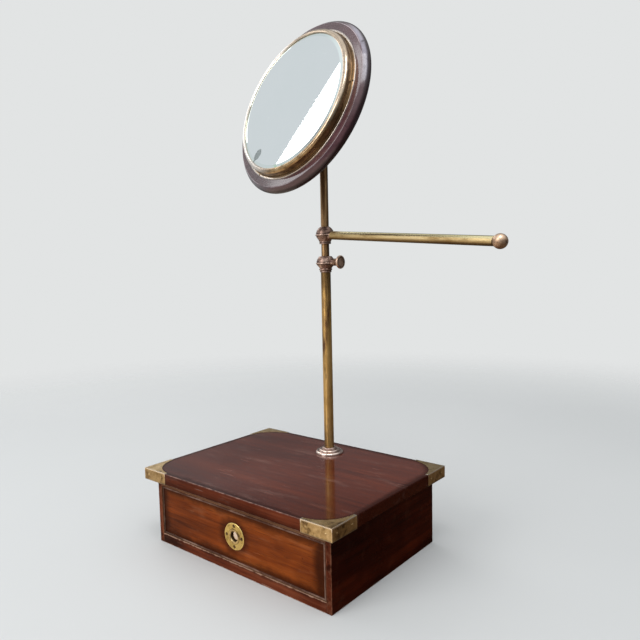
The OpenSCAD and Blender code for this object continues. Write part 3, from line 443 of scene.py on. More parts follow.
def brass(name, look, place=home, stretch=(1, 1, 1), rubAndHighlight=None, grimeAndShade=None, lines=None, dull=1.0):
    # the two share functions give the lighter share, rubbed metal and in places a painted highlight, and the
    # blackened share, grime and in places painted shade; lines is the stretch of fine tool marks
    f = Finish(name, place)
    point = f.stretch(stretch)
    cloud = f.noise(look["scale"] * 0.35, point, 4, 0.6, 0.4)
    smut = f.noise(look["scale"] * 1.6, point, 5, 0.65)
    fleck = f.spots(look["scale"] * 4, point, 0.34)
    tone = cloud * 0.75 + smut * 0.55 - 0.15
    colour = f.ramp(tone, (0.34, look["dark"]), (0.48, look["aged"]), (0.70, look["clean"]))
    colour = f.mix(fleck * smut.rise(0.45, 0.6) * (0.5 * dull), colour, look["dark"])
    rough = look["rough"] + ((0.5 - cloud) * 0.35 + fleck * 0.12) * dull
    height = smut * 0.5 + f.noise(look["scale"] * 9, detail=2) * 0.25 - fleck * 0.5
    if grimeAndShade:
        dirtyAndShaded = grimeAndShade(f, smut)
        colour = f.mix(dirtyAndShaded, colour, [c * 0.45 for c in look["dark"]])
        rough = rough + dirtyAndShaded * 0.25
    if rubAndHighlight:
        rubbedAndLitShare = rubAndHighlight(f, smut)
        colour = f.mix(rubbedAndLitShare * 0.85, colour, look.get("rubbedAndLit", [min(0.95, c * 1.18) for c in look["clean"]]))
        rough = rough - rubbedAndLitShare * 0.14
    if lines:
        marks = f.noise(1.0, f.stretch(lines), 2, 0.5)
        height = height + marks * 0.35
        rough = rough + (marks - 0.5) * 0.12
    # turned round an upright axis, the tool marks spread every highlight up and down
    upright = {"Anisotropic": look["spread"], "Anisotropic Rotation": 0.25} if "spread" in look else {}
    return f.finish(colour, rough.most(0.08), 1.0, height, 0.00006 * dull, **upright)


def boxEdgeHighlight(low, high, edge=0.0011):
    return lambda f, smut: (f.inside(low, high) + (smut - 0.5) * 0.0016).rise(edge, edge * 0.2)


# mesh helpers

def addObject(name, mesh, material, body, slot, *replaced):
    made = bpy.data.objects.new(name, mesh)
    bpy.context.scene.collection.objects.link(made)
    mesh.materials.clear()
    mesh.materials.append(material)
    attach(made, body)
    if replaced:
        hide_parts(*replaced)
    return made


def smoothMesh(bm, name, angle):
    mesh = bpy.data.meshes.new(name)
    bm.to_mesh(mesh)
    bm.free()
    mesh.polygons.foreach_set("use_smooth", [True] * len(mesh.polygons))
    mesh.set_sharp_from_angle(angle=math.radians(angle))
    return mesh


def finishMesh(bm, name, angle=32):
    bmesh.ops.recalc_face_normals(bm, faces=bm.faces)
    return smoothMesh(bm, name, angle)


def rounded(points, steps=4):
    # points are (r, z) or (r, z, size): a corner with a size is cut round that far from its tip
    made = []
    count = len(points)
    for i, p in enumerate(points):
        here = Vector(p[:2])
        if len(p) == 2 or not p[2]:
            made.append(here)
            continue
        before, after = Vector(points[i - 1][:2]) - here, Vector(points[(i + 1) % count][:2]) - here
        a = here + before.normalized() * min(p[2], before.length * 0.48)
        b = here + after.normalized() * min(p[2], after.length * 0.48)
        for k in range(steps + 1):
            t = k / steps
            made.append(a * (1 - t) ** 2 + here * 2 * t * (1 - t) + b * t ** 2)
    return made


def arc(cx, cz, rx, first, last, steps=10, rz=None):
    rz = rx if rz is None else rz
    return [
        (cx + rx * math.cos(math.radians(a)), cz + rz * math.sin(math.radians(a)))
        for a in (first + (last - first) * i / steps for i in range(steps + 1))
    ]


def sleeve(bore, r, low, high, cuts, steps):
    # cuts are the sizes of its four corners, from the lower inner one round by the outside
    corners = [(bore, low), (r, low), (r, high), (bore, high)]
    return rounded([(*corner, cut) for corner, cut in zip(corners, cuts)], steps)


def braced(profile):
    # a point close to each end of every long line keeps its flat shaded flat
    made = []
    loop = list(profile)
    if min(p[0] for p in loop) > 1e-5:
        loop.append(loop[0])
    for a, b in zip(loop, loop[1:]):
        a, b = Vector(a[:2]), Vector(b[:2])
        made.append(a)
        if (b - a).length > 1.2:
            step = (b - a).normalized() * 0.2
            made += [a + step, b - step]
    return made if len(loop) > len(profile) else made + [Vector(loop[-1][:2])]


def lathe(bm, profile, place, steps=128):
    # turns a profile given in millimetres round the local Z of place; one that stays off the axis is closed
    rings = []
    for r, z in braced(profile):
        count = 1 if r < 1e-5 else steps
        rings.append([
            bm.verts.new(place @ Vector((r * mm * math.cos(a), r * mm * math.sin(a), z * mm)))
            for a in (2 * math.pi * i / steps for i in range(count))
        ])
    pairs = list(zip(rings, rings[1:]))
    if min(r for r, z in profile) > 1e-5:
        pairs.append((rings[-1], rings[0]))
    for low, high in pairs:
        for i in range(steps):
            j = (i + 1) % steps
            face = [low[i % len(low)], low[j % len(low)], high[j % len(high)], high[i % len(high)]]
            face = list(dict.fromkeys(face))
            if len(face) > 2:
                bm.faces.new(face)


def turnedPiece(name, material, body, slot, replaced, *parts, steps=128, angle=32):
    # parts are pairs of a profile and its place
    bm = bmesh.new()
    for profile, place in parts:
        lathe(bm, profile, place, steps)
    return addObject(name, finishMesh(bm, name, angle), material, body, slot, replaced)


def softCopy(name, node, material, body, slot, width=0.0005, segments=3, angle=28):
    # the CAD solid with its sharp edges rubbed round
    bm = bmesh.new()
    bm.from_mesh(nodes[node].data)
    bmesh.ops.remove_doubles(bm, verts=bm.verts, dist=2e-6)
    bmesh.ops.dissolve_limit(bm, angle_limit=math.radians(0.6), verts=bm.verts, edges=bm.edges)
    made = addObject(name, smoothMesh(bm, name, 40), material, body, slot, node)
    rubbedAndLit = made.modifiers.new("rubbedEdges", "BEVEL")
    rubbedAndLit.width = width
    rubbedAndLit.segments = segments
    rubbedAndLit.limit_method = "ANGLE"
    rubbedAndLit.angle_limit = math.radians(angle)
    rubbedAndLit.use_clamp_overlap = True
    rubbedAndLit.harden_normals = True
    return made


def boxOf(node):
    low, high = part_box(node)
    return tuple(low), tuple(high)


# carcass

carcass = {"x": 0.1415, "y": 0.103, "top": 0.084}
straps = {"centre": 0.0445, "radius": 0.041, "x": 0.1525, "y": 0.114, "z": 0.098}
flangeR = 0.0185


def topPatinaAndShade(f):
    # old polish left dark along the edges and along the hollow curve of the straps; painted shade darkens the
    # right face and the top towards its front right corner and its left; the edges are darker on their lower
    # part
    dx, dy = straps["x"] - abs(f.x), straps["y"] - abs(f.y)
    flat = f.z.rise(straps["z"] - 0.001, straps["z"] - 0.0003)
    wander = f.wander(26, 4, 0.016, 0.6)
    edge = (dx.least(dy) + wander).rise(0.013, 0.001) * flat
    cx, cy = (straps["centre"] - dx).most(0), (straps["centre"] - dy).most(0)
    out = (cx * cx + cy * cy) ** 0.5 + wander * 0.6
    corner = out.rise(straps["radius"] - 0.008, straps["radius"] + 0.001) * flat
    footX, footY = f.x, f.y - pole["y"] * mm
    foot = ((footX * footX + footY * footY) ** 0.5).rise(flangeR + 0.003, flangeR) * flat
    low = (1 - flat) * (f.z + wander * 0.3).rise(straps["z"] - 0.007, straps["z"] - 0.013) * 0.75
    right = (f.x + wander * 0.2).rise(straps["x"] - 0.0024, straps["x"] - 0.0010) * 0.92
    front = (f.x * 0.45 - f.y * 0.9 + wander * 2).rise(0.02, 0.17) * flat * 0.5
    front = front.most((f.x * -1 + wander * 2).rise(-0.02, 0.12) * flat * 0.34)
    return (edge * 0.78).most(corner * 0.85).most(foot * 0.6).most(low).most(right).most(front)


def unpolished(f):
    # everything behind the carcass's outer faces
    out = (carcass["x"] - abs(f.x)).least(carcass["y"] - abs(f.y))
    return out.rise(0.0004, 0.0009)


def behindFront(f):
    return (f.y + carcass["y"]).rise(0.0004, 0.0009)


def stileFace(f):
    return (f.y + carcass["y"]).rise(0.0006, 0.0002)


def sideBlotchesAndShade(f):
    # painted shade under the top board's overhang, darker towards the bottom, and dark blotches on the front
    # edges
    top = f.z.rise(carcass["top"] - 0.014, carcass["top"] - 0.001)
    low = (f.z + f.wander(40, 3, 0.01)).rise(0.012, 0.001)
    blotch = f.noise(70, detail=4, roughness=0.6).rise(0.48, 0.62) * stileFace(f) * 0.7
    return (top * 0.7).most(low * 0.5).most(blotch)


def bottomShade(f):
    left = (f.x + f.wander(30, 4, 0.09)).rise(-0.06, -0.13) * 0.7
    high = (f.z + f.wander(60, 3, 0.006)).rise(0.0085, 0.0115) * 0.6
    return left.most(high)


def sideRub(side):
    arris = boxRub(*boxOf(side), 0.0012)

    def share(f):
        patches = f.noise(110, detail=6, roughness=0.75).rise(0.49, 0.62) * 0.6
        return arris(f).most(stileFace(f) * patches)

    return share


def topRub(f):
    # no worn arris along the right edge, which is left dark as painted shade
    kept = f.x.rise(straps["x"] - 0.0006, straps["x"] - 0.0022)
    return boxRub(*boxOf("top_board"), 0.0010, 0.0022)(f) * kept


def boardEdge(f):
    return f.z.rise(straps["z"] - 0.0006, straps["z"] - 0.0012)


def topUnder(f):
    overBox = (carcass["x"] - abs(f.x)).rise(0.0, 0.001)
    return f.z.rise(carcass["top"] + 0.0006, carcass["top"] + 0.0002) * overBox


edgeZone = [(boardEdge, polish["stile"])]
topPolish = mahogany("topPolish", polish["top"], topRub, topPatinaAndShade, topUnder, zones=edgeZone)
softCopy("top_board_polished", "top_board", topPolish, "base", "mahogany", 0.0006)
bottomRub = boxRub(*boxOf("bottom_board"), 0.0012)
bottomPolish = mahogany("bottomPolish", polish["stile"], bottomRub, bottomShade, behindFront)
softCopy("bottom_board_worn", "bottom_board", bottomPolish, "base", "mahogany", 0.0006)
for side in ("side_left", "side_right"):
    sidePolish = mahogany(
        side + "Polish", polish["side"], sideRub(side), sideBlotchesAndShade, unpolished,
        zones=[(stileFace, {**polish["stile"], "along": 2})],
    )
    softCopy(side + "_polished", side, sidePolish, "base", "mahogany_dark", 0.0006)
backLook = {**polish["side"], "along": 0}
backPolish = mahogany("backPolish", backLook, boxRub(*boxOf("back_panel")), sideBlotchesAndShade, unpolished)
softCopy("back_polished", "back_panel", backPolish, "base", "mahogany_dark", 0.0005)
railRub = boxRub(*boxOf("top_rail"), 0.0004)
railPolish = mahogany("railPolish", polish["rail"], railRub, inner=behindFront)
softCopy("top_rail_worn", "top_rail", railPolish, "base", "mahogany", 0.0004)
for node in ("kicker_strips", "drawer_stops"):
    softCopy(node + "_raw", node, rawWood(node + "Wood", bare["drawer"]), "base", "drawer_wood", 0.0003)
print("carcass done")


# brass corners

def strapDirtAndShade(f, smut):
    # dirt where the strap meets the wood, and on its lower edge; the left straps' faces darkened as painted
    # shade
    low = (f.z - carcass["top"] + (smut - 0.5) * 0.004).rise(0.0022, 0.0002)
    return (low * 0.6).most(f.x.rise(-0.09, -0.15) * f.z.rise(0.0974, 0.0966) * 0.34)


def strapEdgeHighlight(corner):
    # painted highlight and wear on the arrises, strongest along the upper ones
    edges = boxEdgeHighlight(*boxOf(corner), 0.0016)
    return lambda f, smut: edges(f, smut) * (0.14 + f.z.rise(0.0936, 0.0968) * 0.86)


for corner in ("corner_front_left", "corner_front_right", "corner_back_left", "corner_back_right"):
    strapMetal = brass(corner + "Brass", metals["strap"], rubAndHighlight=strapEdgeHighlight(corner), grimeAndShade=strapDirtAndShade)
    softCopy(corner + "_strap", corner, strapMetal, "base", "aged_brass", 0.0008)
pinMetal = brass("pinBrass", metals["strap"])
softCopy("corner_pins_filed", "corner_pins", pinMetal, "base", "aged_brass", 0.0001, 1)
print("corners done")


# drawer

drawer = {"x": 0.134, "low": 0.0123, "high": 0.0745, "face": plate["face"] * mm, "bead": 0.003}


def frontShade(f):
    # dark borders inside the bead and a halo where the plate has kept the rag away
    wander = f.wander(30, 4, 0.014, 0.6)
    right = f.x.rise(0.09, 0.13) * 0.005
    sides = (drawer["x"] - drawer["bead"] - abs(f.x) + wander - right).rise(0.016, 0.001)
    above = drawer["high"] - drawer["bead"] - f.z
    below = f.z - drawer["low"] - drawer["bead"]
    ends = (above.least(below) + wander).rise(0.010, 0.0005)
    dx, dz = f.x - plate["x"] * mm, f.z - plate["z"] * mm
    halo = ((dx * dx + dz * dz) ** 0.5 + wander * 1.4).rise(0.030, 0.017)
    return (sides * 0.86).most(ends * 0.8).most(halo * 0.76)


def frontBehind(f):
    return (f.y - drawer["face"]).rise(0.0054, 0.006)


def beadWearAndHighlight(f):
    # the bead's nose lighter: wear, and a painted highlight where light catches the rounded bead
    nose = (f.y - drawer["face"] + 0.001 + f.wander(120, 4, 0.0012)).rise(0.0006, 0.0)
    return nose * (f.noise(35, detail=3).rise(0.44, 0.62) * 0.55 + 0.14)


frontPolish = mahogany("frontPolish", polish["front"], None, frontShade, frontBehind)
softCopy("drawer_front_polished", "drawer_front", frontPolish, "drawer", "mahogany_light", 0.0003)
beadPolish = mahogany("beadPolish", polish["bead"], beadWearAndHighlight)
softCopy("cock_bead_worn", "cock_bead", beadPolish, "drawer", "mahogany_dark", 0.0001, 1)
for node in ("drawer_side_left", "drawer_side_right", "drawer_back", "drawer_bottom"):
    wood = rawWood(node + "Wood", bare["drawer" if "side" in node else "across"])
    softCopy(node + "_raw", node, wood, "drawer", "drawer_wood", 0.0003)

# the plate's rim lighter, wear and a painted highlight; darker round the socket, and darker at the outer edge
# as painted shadow
plateMetal = brass(
    "plateBrass", metals["plate"], platePlace, lines=(12, 260, 12),
    rubAndHighlight=lambda f, smut: (f.r + (smut - 0.5) * 0.002).rise(0.0146, 0.0158),
    grimeAndShade=lambda f, smut: f.r.rise(0.0098, 0.0086) * 0.6 + f.r.rise(0.0157, 0.0160) * 0.3,
)
softCopy("socket_plate_brass", "socket_plate", plateMetal, "drawer", "aged_brass", 0.00015, 2)
plateScrewMetal = brass("plateScrewBrass", metals["screw"], platePlace)
softCopy("plate_screws_brass", "plate_screws", plateScrewMetal, "drawer", "aged_brass", 0.0001, 1)

socket = {
    "back": -10, "bodyR": 7.3, "seat": 0.6, "ringR": 8.5, "front": 1.1,
    "boreR": 6.1, "crestR": 5.85, "pitch": 0.9, "plugR": 5.75, "plugZ": -1.9,
    "domeR": 20.5, "domeZ": -1, "domeFrom": 73.7,
}


def socketProfile(look):
    # raised ring round a bore with a screw thread, drawn as fine ridges, and a bright domed plug in it
    back, body, seat, ring, front = (look[k] for k in ("back", "bodyR", "seat", "ringR", "front"))
    outer = rounded([
        (0.5, back), (body, back, 0.3), (body, seat), (ring, seat),
        (ring, front, 0.22), (look["boreR"] + 0.35, front, 0.25),
    ])
    thread = []
    for turns in range(2):
        z = 0.4 - turns * look["pitch"]
        thread += [
            (look["boreR"], z), (look["crestR"], z - 0.30),
            (look["crestR"], z - 0.45), (look["boreR"], z - 0.75),
        ]
    dome = arc(0, look["domeZ"] - look["domeR"], look["domeR"], look["domeFrom"], 90, 10)
    rim = [(look["boreR"] - 0.05, look["plugZ"]), (look["plugR"], look["plugZ"])]
    return [(0, back)] + outer[1:] + thread + rim + dome


# the domed plug painted pale, partly a painted reflection; the threaded bore darker below the face, dirt and
# painted shade
socketMetal = brass(
    "socketBrass", metals["socket"], platePlace,
    rubAndHighlight=lambda f, smut: f.r.rise(0.0057, 0.0054),
    grimeAndShade=lambda f, smut: f.z.rise(0.0006, -0.0002) * f.r.rise(0.0055, 0.0058) * f.r.rise(0.0066, 0.0063),
)
turnedPiece(
    "socket_threaded", socketMetal, "drawer", "aged_brass", "socket",
    (socketProfile(socket), platePlace), steps=96,
)
print("drawer done")


# pole

tube = {"r": 6.5, "bore": 5.3, "low": 77.5, "high": 350, "board": 98}
rod = {"r": 5.2, "low": 160, "high": 524.1}


def poleGrime(f, smut):
    # tarnish runs in streaks, heavier towards the foot and under the collar
    streak = f.noise(1.0, f.stretch((260, 260, 7)), 3, 0.6)
    foot = f.z.rise(0.16, 0.10)
    rodStart = f.z.rise(tube["high"] * mm, (tube["high"] + 2) * mm)
    neck = f.z.rise(0.285, 0.345) * (0.34 - rodStart * 0.20)
    return (streak + foot * 0.10 + neck).rise(0.52, 0.74) * 0.7


flange = {
    "bore": 6.55, "foot": 18.5, "top": 8,
    # each roll's middle, size and steps, and the slope that follows it
    "rolls": (
        ((16.14, 0.92, 2.36, 8), [(14.7, 3.28), (13.9, 3.68)]),
        ((12.4, 4.02, 1.5, 6), [(10.1, 5.52), (9.5, 6.0)]),
        ((8.1, 6.6, 1.4, 6), []),
    ),
}


def flangeProfile(look):
    points = [(look["bore"], 0), (look["foot"], 0)]
    for (r, z, size, steps), slope in look["rolls"]:
        points += arc(r, z, size, 0, 90, steps) + slope
    return rounded(points + [(look["bore"], look["top"])])


def flangeGrime(f, smut):
    steps = f.r.near(0.0147, 0.0009).most(f.r.near(0.0102, 0.0008))
    return steps.most(f.r.rise(0.0073, 0.0066)) * 0.8


# the two lower rolls lighter as painted highlights; black in the steps and round the bore
flangeMetal = brass(
    "flangeMetal", metals["flange"], standing, grimeAndShade=flangeGrime, lines=(30, 30, 2600),
    rubAndHighlight=lambda f, smut: f.r.near(0.0178, 0.0012).most(f.r.near(0.0134, 0.0008)),
)
turnedPiece(
    "pole_flange_turned", flangeMetal, "base", "plated_flange", "pole_flange",
    (flangeProfile(flange), standing @ shift(0, 0, tube["board"])),
)

tubeProfile = sleeve(tube["bore"], tube["r"], tube["low"], tube["high"], (0.2, 0.3, 0.2, 0.1), 2)
rodProfile = sleeve(0, rod["r"], rod["low"], rod["high"], (0, 0.6, 0.2, 0), 3)
drawn = {"stretch": (1, 1, 0.22), "grimeAndShade": poleGrime, "lines": (500, 500, 8)}
tubeMetal = brass("tubeBrass", metals["pole"], standing, **drawn)
turnedPiece("outer_tube_brass", tubeMetal, "base", "pole_brass", "outer_tube", (tubeProfile, standing))
rodMetal = brass("rodBrass", metals["rod"], turned, **drawn)
turnedPiece("inner_rod_brass", rodMetal, "rod", "pole_brass", "inner_rod", (rodProfile, turned))


# collars: ring, bead, slope, ridge and ball

collar = {"foot": 7.6, "edge": 12.8, "neck": 11.9, "ridge": 1.9, "ball": 12.0, "sink": 0.5}


def collarOutside(foot, ridgeZ, lipR):
    r, z = foot[-1][:2]
    slope = [
        (r + 0.4 + (collar["neck"] - r - 0.4) * (t - 0.06 * math.sin(2 * math.pi * t)), z + (ridgeZ - z) * t)
        for t in (i / 10 for i in range(1, 11))
    ]
    ridgeMiddle, ridgeOut = ridgeZ + collar["ridge"] / 2, collar["edge"] - collar["neck"]
    ridge = arc(collar["neck"], ridgeMiddle, ridgeOut, -80, 80, 10, collar["ridge"] / 2)
    ballZ = ridgeZ + collar["ridge"] - collar["sink"]
    end = math.degrees(math.acos(lipR / collar["ball"]))
    ball = arc(0, ballZ, collar["ball"], 4.4, end, 18)
    return foot + slope + ridge + ball, ballZ + collar["ball"] * math.sin(math.radians(end))


def collarFoot(bore, height):
    r = collar["foot"]
    return rounded([(bore, 0), (r, 0, 0.3), (r, height, 0.3)], 3)


# a branch is a bore, a radius, a start and an end along the screw or the arm
clamp = {
    "z": 342, "ridgeZ": 10.7, "foot": 2.6, "pocket": 6.55, "mouth": 5.5, "lipR": 7.9,
    "branch": (2.05, 4.8, 8, 14.8),
}
armCollar = {
    "z": 379.03, "ridgeZ": 10.7, "foot": 3.5, "bore": 5.25, "lipR": 6.1,
    "branch": (2.85, 5.45, 8, 13.3),
}


def collarMetal(name, look, place):
    # black in the grooves under and over the ridge and at the foot; the ridge itself lighter, a painted
    # highlight as well as wear
    ridge = (look["z"] + look["ridgeZ"] + collar["ridge"] / 2) * mm

    def grimeAndShade(f, smut):
        z = f.z - ridge
        groove = z.near(-0.0013, 0.0012).most(z.near(0.0019, 0.0008)).most(z.near(-0.0098, 0.001))
        return groove * (0.35 + smut * 0.7)

    def rubAndHighlight(f, smut):
        return (f.r + (smut - 0.5) * 0.001).rise(0.0122, 0.0128) * (f.z - ridge).near(0.0, 0.002)

    return brass(name, metals["collar"], place, rubAndHighlight=rubAndHighlight, grimeAndShade=grimeAndShade, lines=(25, 25, 2200))


def clampProfiles(look):
    foot = collarFoot(look["pocket"], look["foot"]) + arc(7.4, look["foot"] + 1.3, 1.3, -80, 80, 10)
    outside, top = collarOutside(foot, look["ridgeZ"], look["lipR"])
    bore = rounded([(look["mouth"], top, 0.3), (look["mouth"], top - 2), (look["pocket"], top - 2)], 2)
    return outside + bore, sleeve(*look["branch"], (0, 0, 0.5, 0.3), 3)


def armCollarProfiles(look):
    outside, top = collarOutside(collarFoot(look["bore"], look["foot"]), look["ridgeZ"], look["lipR"])
    return outside + [(look["bore"], top)], sleeve(*look["branch"], (0, 0, 0.2, 0), 2)


body, branch = clampProfiles(clamp)
turnedPiece(
    "clamp_collar_turned", collarMetal("clampBrass", clamp, standing),
    "base", "collar_brass", "clamp_collar",
    (body, standing @ shift(0, 0, clamp["z"])), (branch, thumbPlace),
)
body, branch = armCollarProfiles(armCollar)
turnedPiece(
    "arm_collar_turned", collarMetal("armCollarBrass", armCollar, turned),
    "rod", "collar_brass", "arm_collar",
    (body, turned @ shift(0, 0, armCollar["z"])), (branch, armPlace),
)

thumb = {
    "tip": 6.75, "shankR": 2, "shoulderR": 4.8, "shoulder": (15.1, 16.9),
    "neck": [(3.6, 17.6, 0.5), (3.2, 20.0, 0.8), (4.2, 21.8, 0.8), (6.0, 22.9)],
    "rimR": 7.75, "rimZ": 24.5, "rimRoll": 1.5, "face": 26, "dishR": 6.75, "dish": 0.9,
}


def thumbProfile(look):
    # shank, shoulder, waisted neck and dished head
    tip, shank, shoulder, face = (look[k] for k in ("tip", "shankR", "shoulderR", "face"))
    low, high = look["shoulder"]
    points = [(0, tip), (shank, tip, 0.4), (shank, low), (shoulder, low, 0.5), (shoulder, high, 0.5)]
    rim = arc(look["rimR"], look["rimZ"], 1, -90, 90, 10, look["rimRoll"]) + [(look["dishR"], face)]
    return rounded(points + look["neck"] + rim) + arc(0, face, look["dishR"], -8, -90, 8, look["dish"])


# the head's rolled rim lighter, a painted highlight; a darker ring round the dish in its face
thumbMetal = brass(
    "thumbBrass", metals["thumb"], thumbPlace, lines=(25, 25, 2200),
    rubAndHighlight=lambda f, smut: f.r.near(0.0083, 0.0009) * 0.8,
    grimeAndShade=lambda f, smut: f.z.rise(0.0245, 0.0258) * f.r.near(0.0062, 0.0022) * 0.8,
)
turnedPiece(
    "thumbscrew_turned", thumbMetal, "thumbscrew_body", "collar_brass", "thumbscrew",
    (thumbProfile(thumb), thumbPlace), steps=96,
)


# arm and ball

armLook = {
    "r": 5.45, "from": 13.3, "to": 253.1, "spigot": 2.8, "spigotFrom": 6.6,
    "ballAt": 260, "ballR": 8, "seatR": 4.95, "boreR": 2.85,
}


def armUndersideShade(f, smut):
    # painted shade on the underside: local x points down; darker towards both ends
    under = (f.x + (smut - 0.5) * 0.003).rise(-0.0004, 0.0040)
    ends = (f.z.rise(0.11, 0.014) * 0.5).most(f.z.rise(0.240, 0.253) * 0.3)
    return (under * 0.92).most(ends * (0.5 + smut))


def armTopHighlight(f, smut):
    # painted highlight along the upper side
    return (f.x + (smut - 0.5) * 0.003).rise(-0.0012, -0.004) * f.z.rise(0.02, 0.04)


def armProfile(look):
    spigot, r = look["spigot"], look["r"]
    return rounded([
        (0, look["spigotFrom"]), (spigot, look["spigotFrom"], 0.3), (spigot, look["from"]),
        (r, look["from"], 0.15), (r, look["to"], 0.4),
        (spigot, look["to"]), (spigot, look["ballAt"], 0.3), (0, look["ballAt"]),
    ], 3)


def ballProfile(look):
    seat = math.degrees(math.asin(look["seatR"] / look["ballR"])) - 90
    end = look["ballAt"] + 0.05
    foot = [(look["boreR"], look["to"]), (look["seatR"], look["to"])]
    return foot + arc(0, look["ballAt"], look["ballR"], seat, 90, 28) + [(0, end), (look["boreR"], end)]


armMetal = brass(
    "armBrass", metals["arm"], armPlace, (1, 1, 0.3), armTopHighlight, armUndersideShade, lines=(500, 500, 8), dull=0.35,
)
turnedPiece("arm_brass", armMetal, "rod", "bright_brass", "arm", (armProfile(armLook), armPlace))
# painted highlight: the ball's upper half is lighter; darker round its seat on the arm
ballMetal = brass(
    "ballBrass", metals["ball"], armPlace, lines=(30, 30, 2000),
    rubAndHighlight=lambda f, smut: (f.x + (smut - 0.5) * 0.006).rise(0.0, -0.005) * 0.7,
    grimeAndShade=lambda f, smut: (f.z - 0.2545 + (smut - 0.5) * 0.002).rise(0.0012, 0.0) * 0.8,
)
turnedPiece(
    "arm_ball_turned", ballMetal, "rod", "collar_brass", "arm_ball",
    (ballProfile(armLook), armPlace), steps=96,
)
for node, body, slot in (
    ("clamp_bush", "swivel", "pole_brass"),
    ("pole_nut", "base", "aged_brass"), ("rod_fork", "rod", "aged_brass"),
    ("tilt_screw", "rod", "aged_brass"), ("tilt_nut", "rod", "aged_brass"),
    ("hinge_lug", "mirror", "aged_brass"), ("lug_screws", "mirror", "aged_brass"),
):
    look = metals["screw" if "screw" in node else "hidden"]
    softCopy(node + "_filed", node, brass(node + "Brass", look), body, slot, 0.0002, 2)
print("pole and arm done")


# mirror, in millimetres along its own axis from the pivot and in radii about that axis

mirror = {
    "back": 33, "face": 46, "rim": 113.5, "roundR": 5.5, "roundZ": 5.46,
    "drawnIn": 4.9, "step": 0.7, "arris": 107.9,
    "wall": 93.7, "flange": 98.5, "cove": 95.7, "nose": (90.5, 53.6, 4.0), "sheet": 1.1,
    "glassR": 92, "glassBack": 52.9, "glassEdge": 55.3, "glassFront": 56.9, "bevelR": 84,
}
# the same in metres, for the finishes
discBack, discFace, discArris = (mirror[k] * mm for k in ("back", "face", "arris"))
bezelWall, bezelCove, bezelEdge = (mirror[k] * mm for k in ("wall", "cove", "flange"))
bevelEdge = mirror["bevelR"] * mm


def discProfile(look):
    rim, face, roll = look["rim"], look["face"], look["roundR"]
    waist = look["back"] + look["roundZ"]
    edge = [
        (rim - look["drawnIn"] * t ** 1.6, waist + (face - look["step"] - waist) * t)
        for t in (i / 12 for i in range(1, 13))
    ]
    behind = [(0, look["back"])] + arc(rim - roll, waist, roll, -90, 0, 12, look["roundZ"])
    return behind + edge + rounded([edge[-1], (look["arris"], face, 0.5), (0, face)], 4)[1:]


def bezelProfile(look):
    # flange with a rolled edge, cove, and the nose that holds the glass, from one sheet
    flange, cove, seat = look["flange"], look["cove"], look["face"]
    noseR, noseZ, outer = look["nose"]
    rim = rounded([(look["wall"], seat), (flange, seat, 0.1), (flange, seat + 1, 0.75), (cove, seat + 1)], 4)
    nose = arc(noseR, noseZ, outer, 0, 125, 24) + arc(noseR, noseZ, outer - look["sheet"], 125, 0, 20)
    return rim + arc(cove, seat + 1.9, 0.9, 260, 180, 6) + nose


def glassProfile(look):
    r, back, edge, front = (look[k] for k in ("glassR", "glassBack", "glassEdge", "glassFront"))
    return rounded([(0, back), (r, back, 0.3), (r, edge, 0.2), (look["bevelR"], front), (0, front)], 2)


def discPaintedHighlight(f):
    # painted highlight: a light line along the arris, weaker on the lower right, and a fainter light ring
    # just outside the bezel's flange
    wander = f.wander(150, 5, -0.0018, 0.65)
    quiet = f.x.rise(-0.01, 0.04) * f.y.rise(0.04, -0.02)
    arris = f.r.near(discArris, 0.0007) * f.noise(30, detail=3).rise(0.35, 0.55) * (1 - quiet * 0.8)
    inner = (f.r + wander).near(bezelEdge + 0.0003, 0.0004) * 0.4
    return arris.most(inner) * f.z.rise(discFace - 0.0008, discFace - 0.0002)


def discPatchesAndShade(f):
    # nearly black round the rim and against the bezel: painted shade on the rim's rounded back and a painted
    # shadow beside the bezel's flange; dark patches on the rounded edge
    rim = (f.z + f.wander(60, 3, 0.002)).rise(discFace - 0.0028, discFace - 0.0056)
    rim = rim * f.r.rise(discArris - 0.0009, discArris + 0.0021)
    inner = f.r.rise(bezelEdge + 0.0013, bezelEdge + 0.0001) * f.z.rise(discFace - 0.0005, discFace - 0.0001)
    patch = f.noise(34, detail=4, roughness=0.65).rise(0.56, 0.70)
    patch = patch * f.r.rise(discArris + 0.0001, discArris + 0.0007) * 0.8
    return (rim * 0.97).most(inner * 0.8).most(patch)


def discBehind(f):
    return f.z.rise(discBack + 0.0020, discBack + 0.0006)


def discPaintedSheen(f):
    # painted sheen: the rim's upper right is painted a lilac grey for the sky that it reflects
    upperRight = f.x * 0.87 + f.y * 0.5 + f.wander(45, 4, 0.02)
    return upperRight.rise(0.096, 0.110) * f.r.rise(discArris + 0.0001, discArris + 0.0011) * 0.7


discPolish = mahogany(
    "discPolish", polish["disc"], discPaintedHighlight, discPatchesAndShade, place=mirrorPlace,
    zones=[(discPaintedSheen, polish["paintedSheen"]), (discBehind, polish["discBack"])],
)
turnedPiece(
    "mirror_back_turned", discPolish, "mirror", "mahogany", "mirror_back",
    (discProfile(mirror), mirrorPlace), steps=192,
)
backingWood = rawWood("backingWood", bare["packing"], mirrorPlace)
softCopy("backing_board_raw", "backing_board", backingWood, "mirror", "drawer_wood", 0.0004)


def bezelDirtAndShade(f, smut):
    # black in the cove; darker on the lip by the glass as painted shadow, and in patches outside the wall,
    # dirt and painted shade that dulls the wall's reflection
    above = f.z - discFace
    corner = above.rise(0.0045, 0.0020) * f.r.near(bezelCove - 0.0006, 0.0009)
    lip = f.r.rise(0.0876, 0.0868) * 0.4
    wall = f.r.rise(bezelWall + 0.0001, bezelWall + 0.0009)
    patch = f.noise(22, detail=4).rise(0.45, 0.66) * wall * 0.4 + wall * above.rise(0.0018, 0.0024) * 0.12
    return corner.most(lip).most(patch) * (0.5 + smut * 0.8)


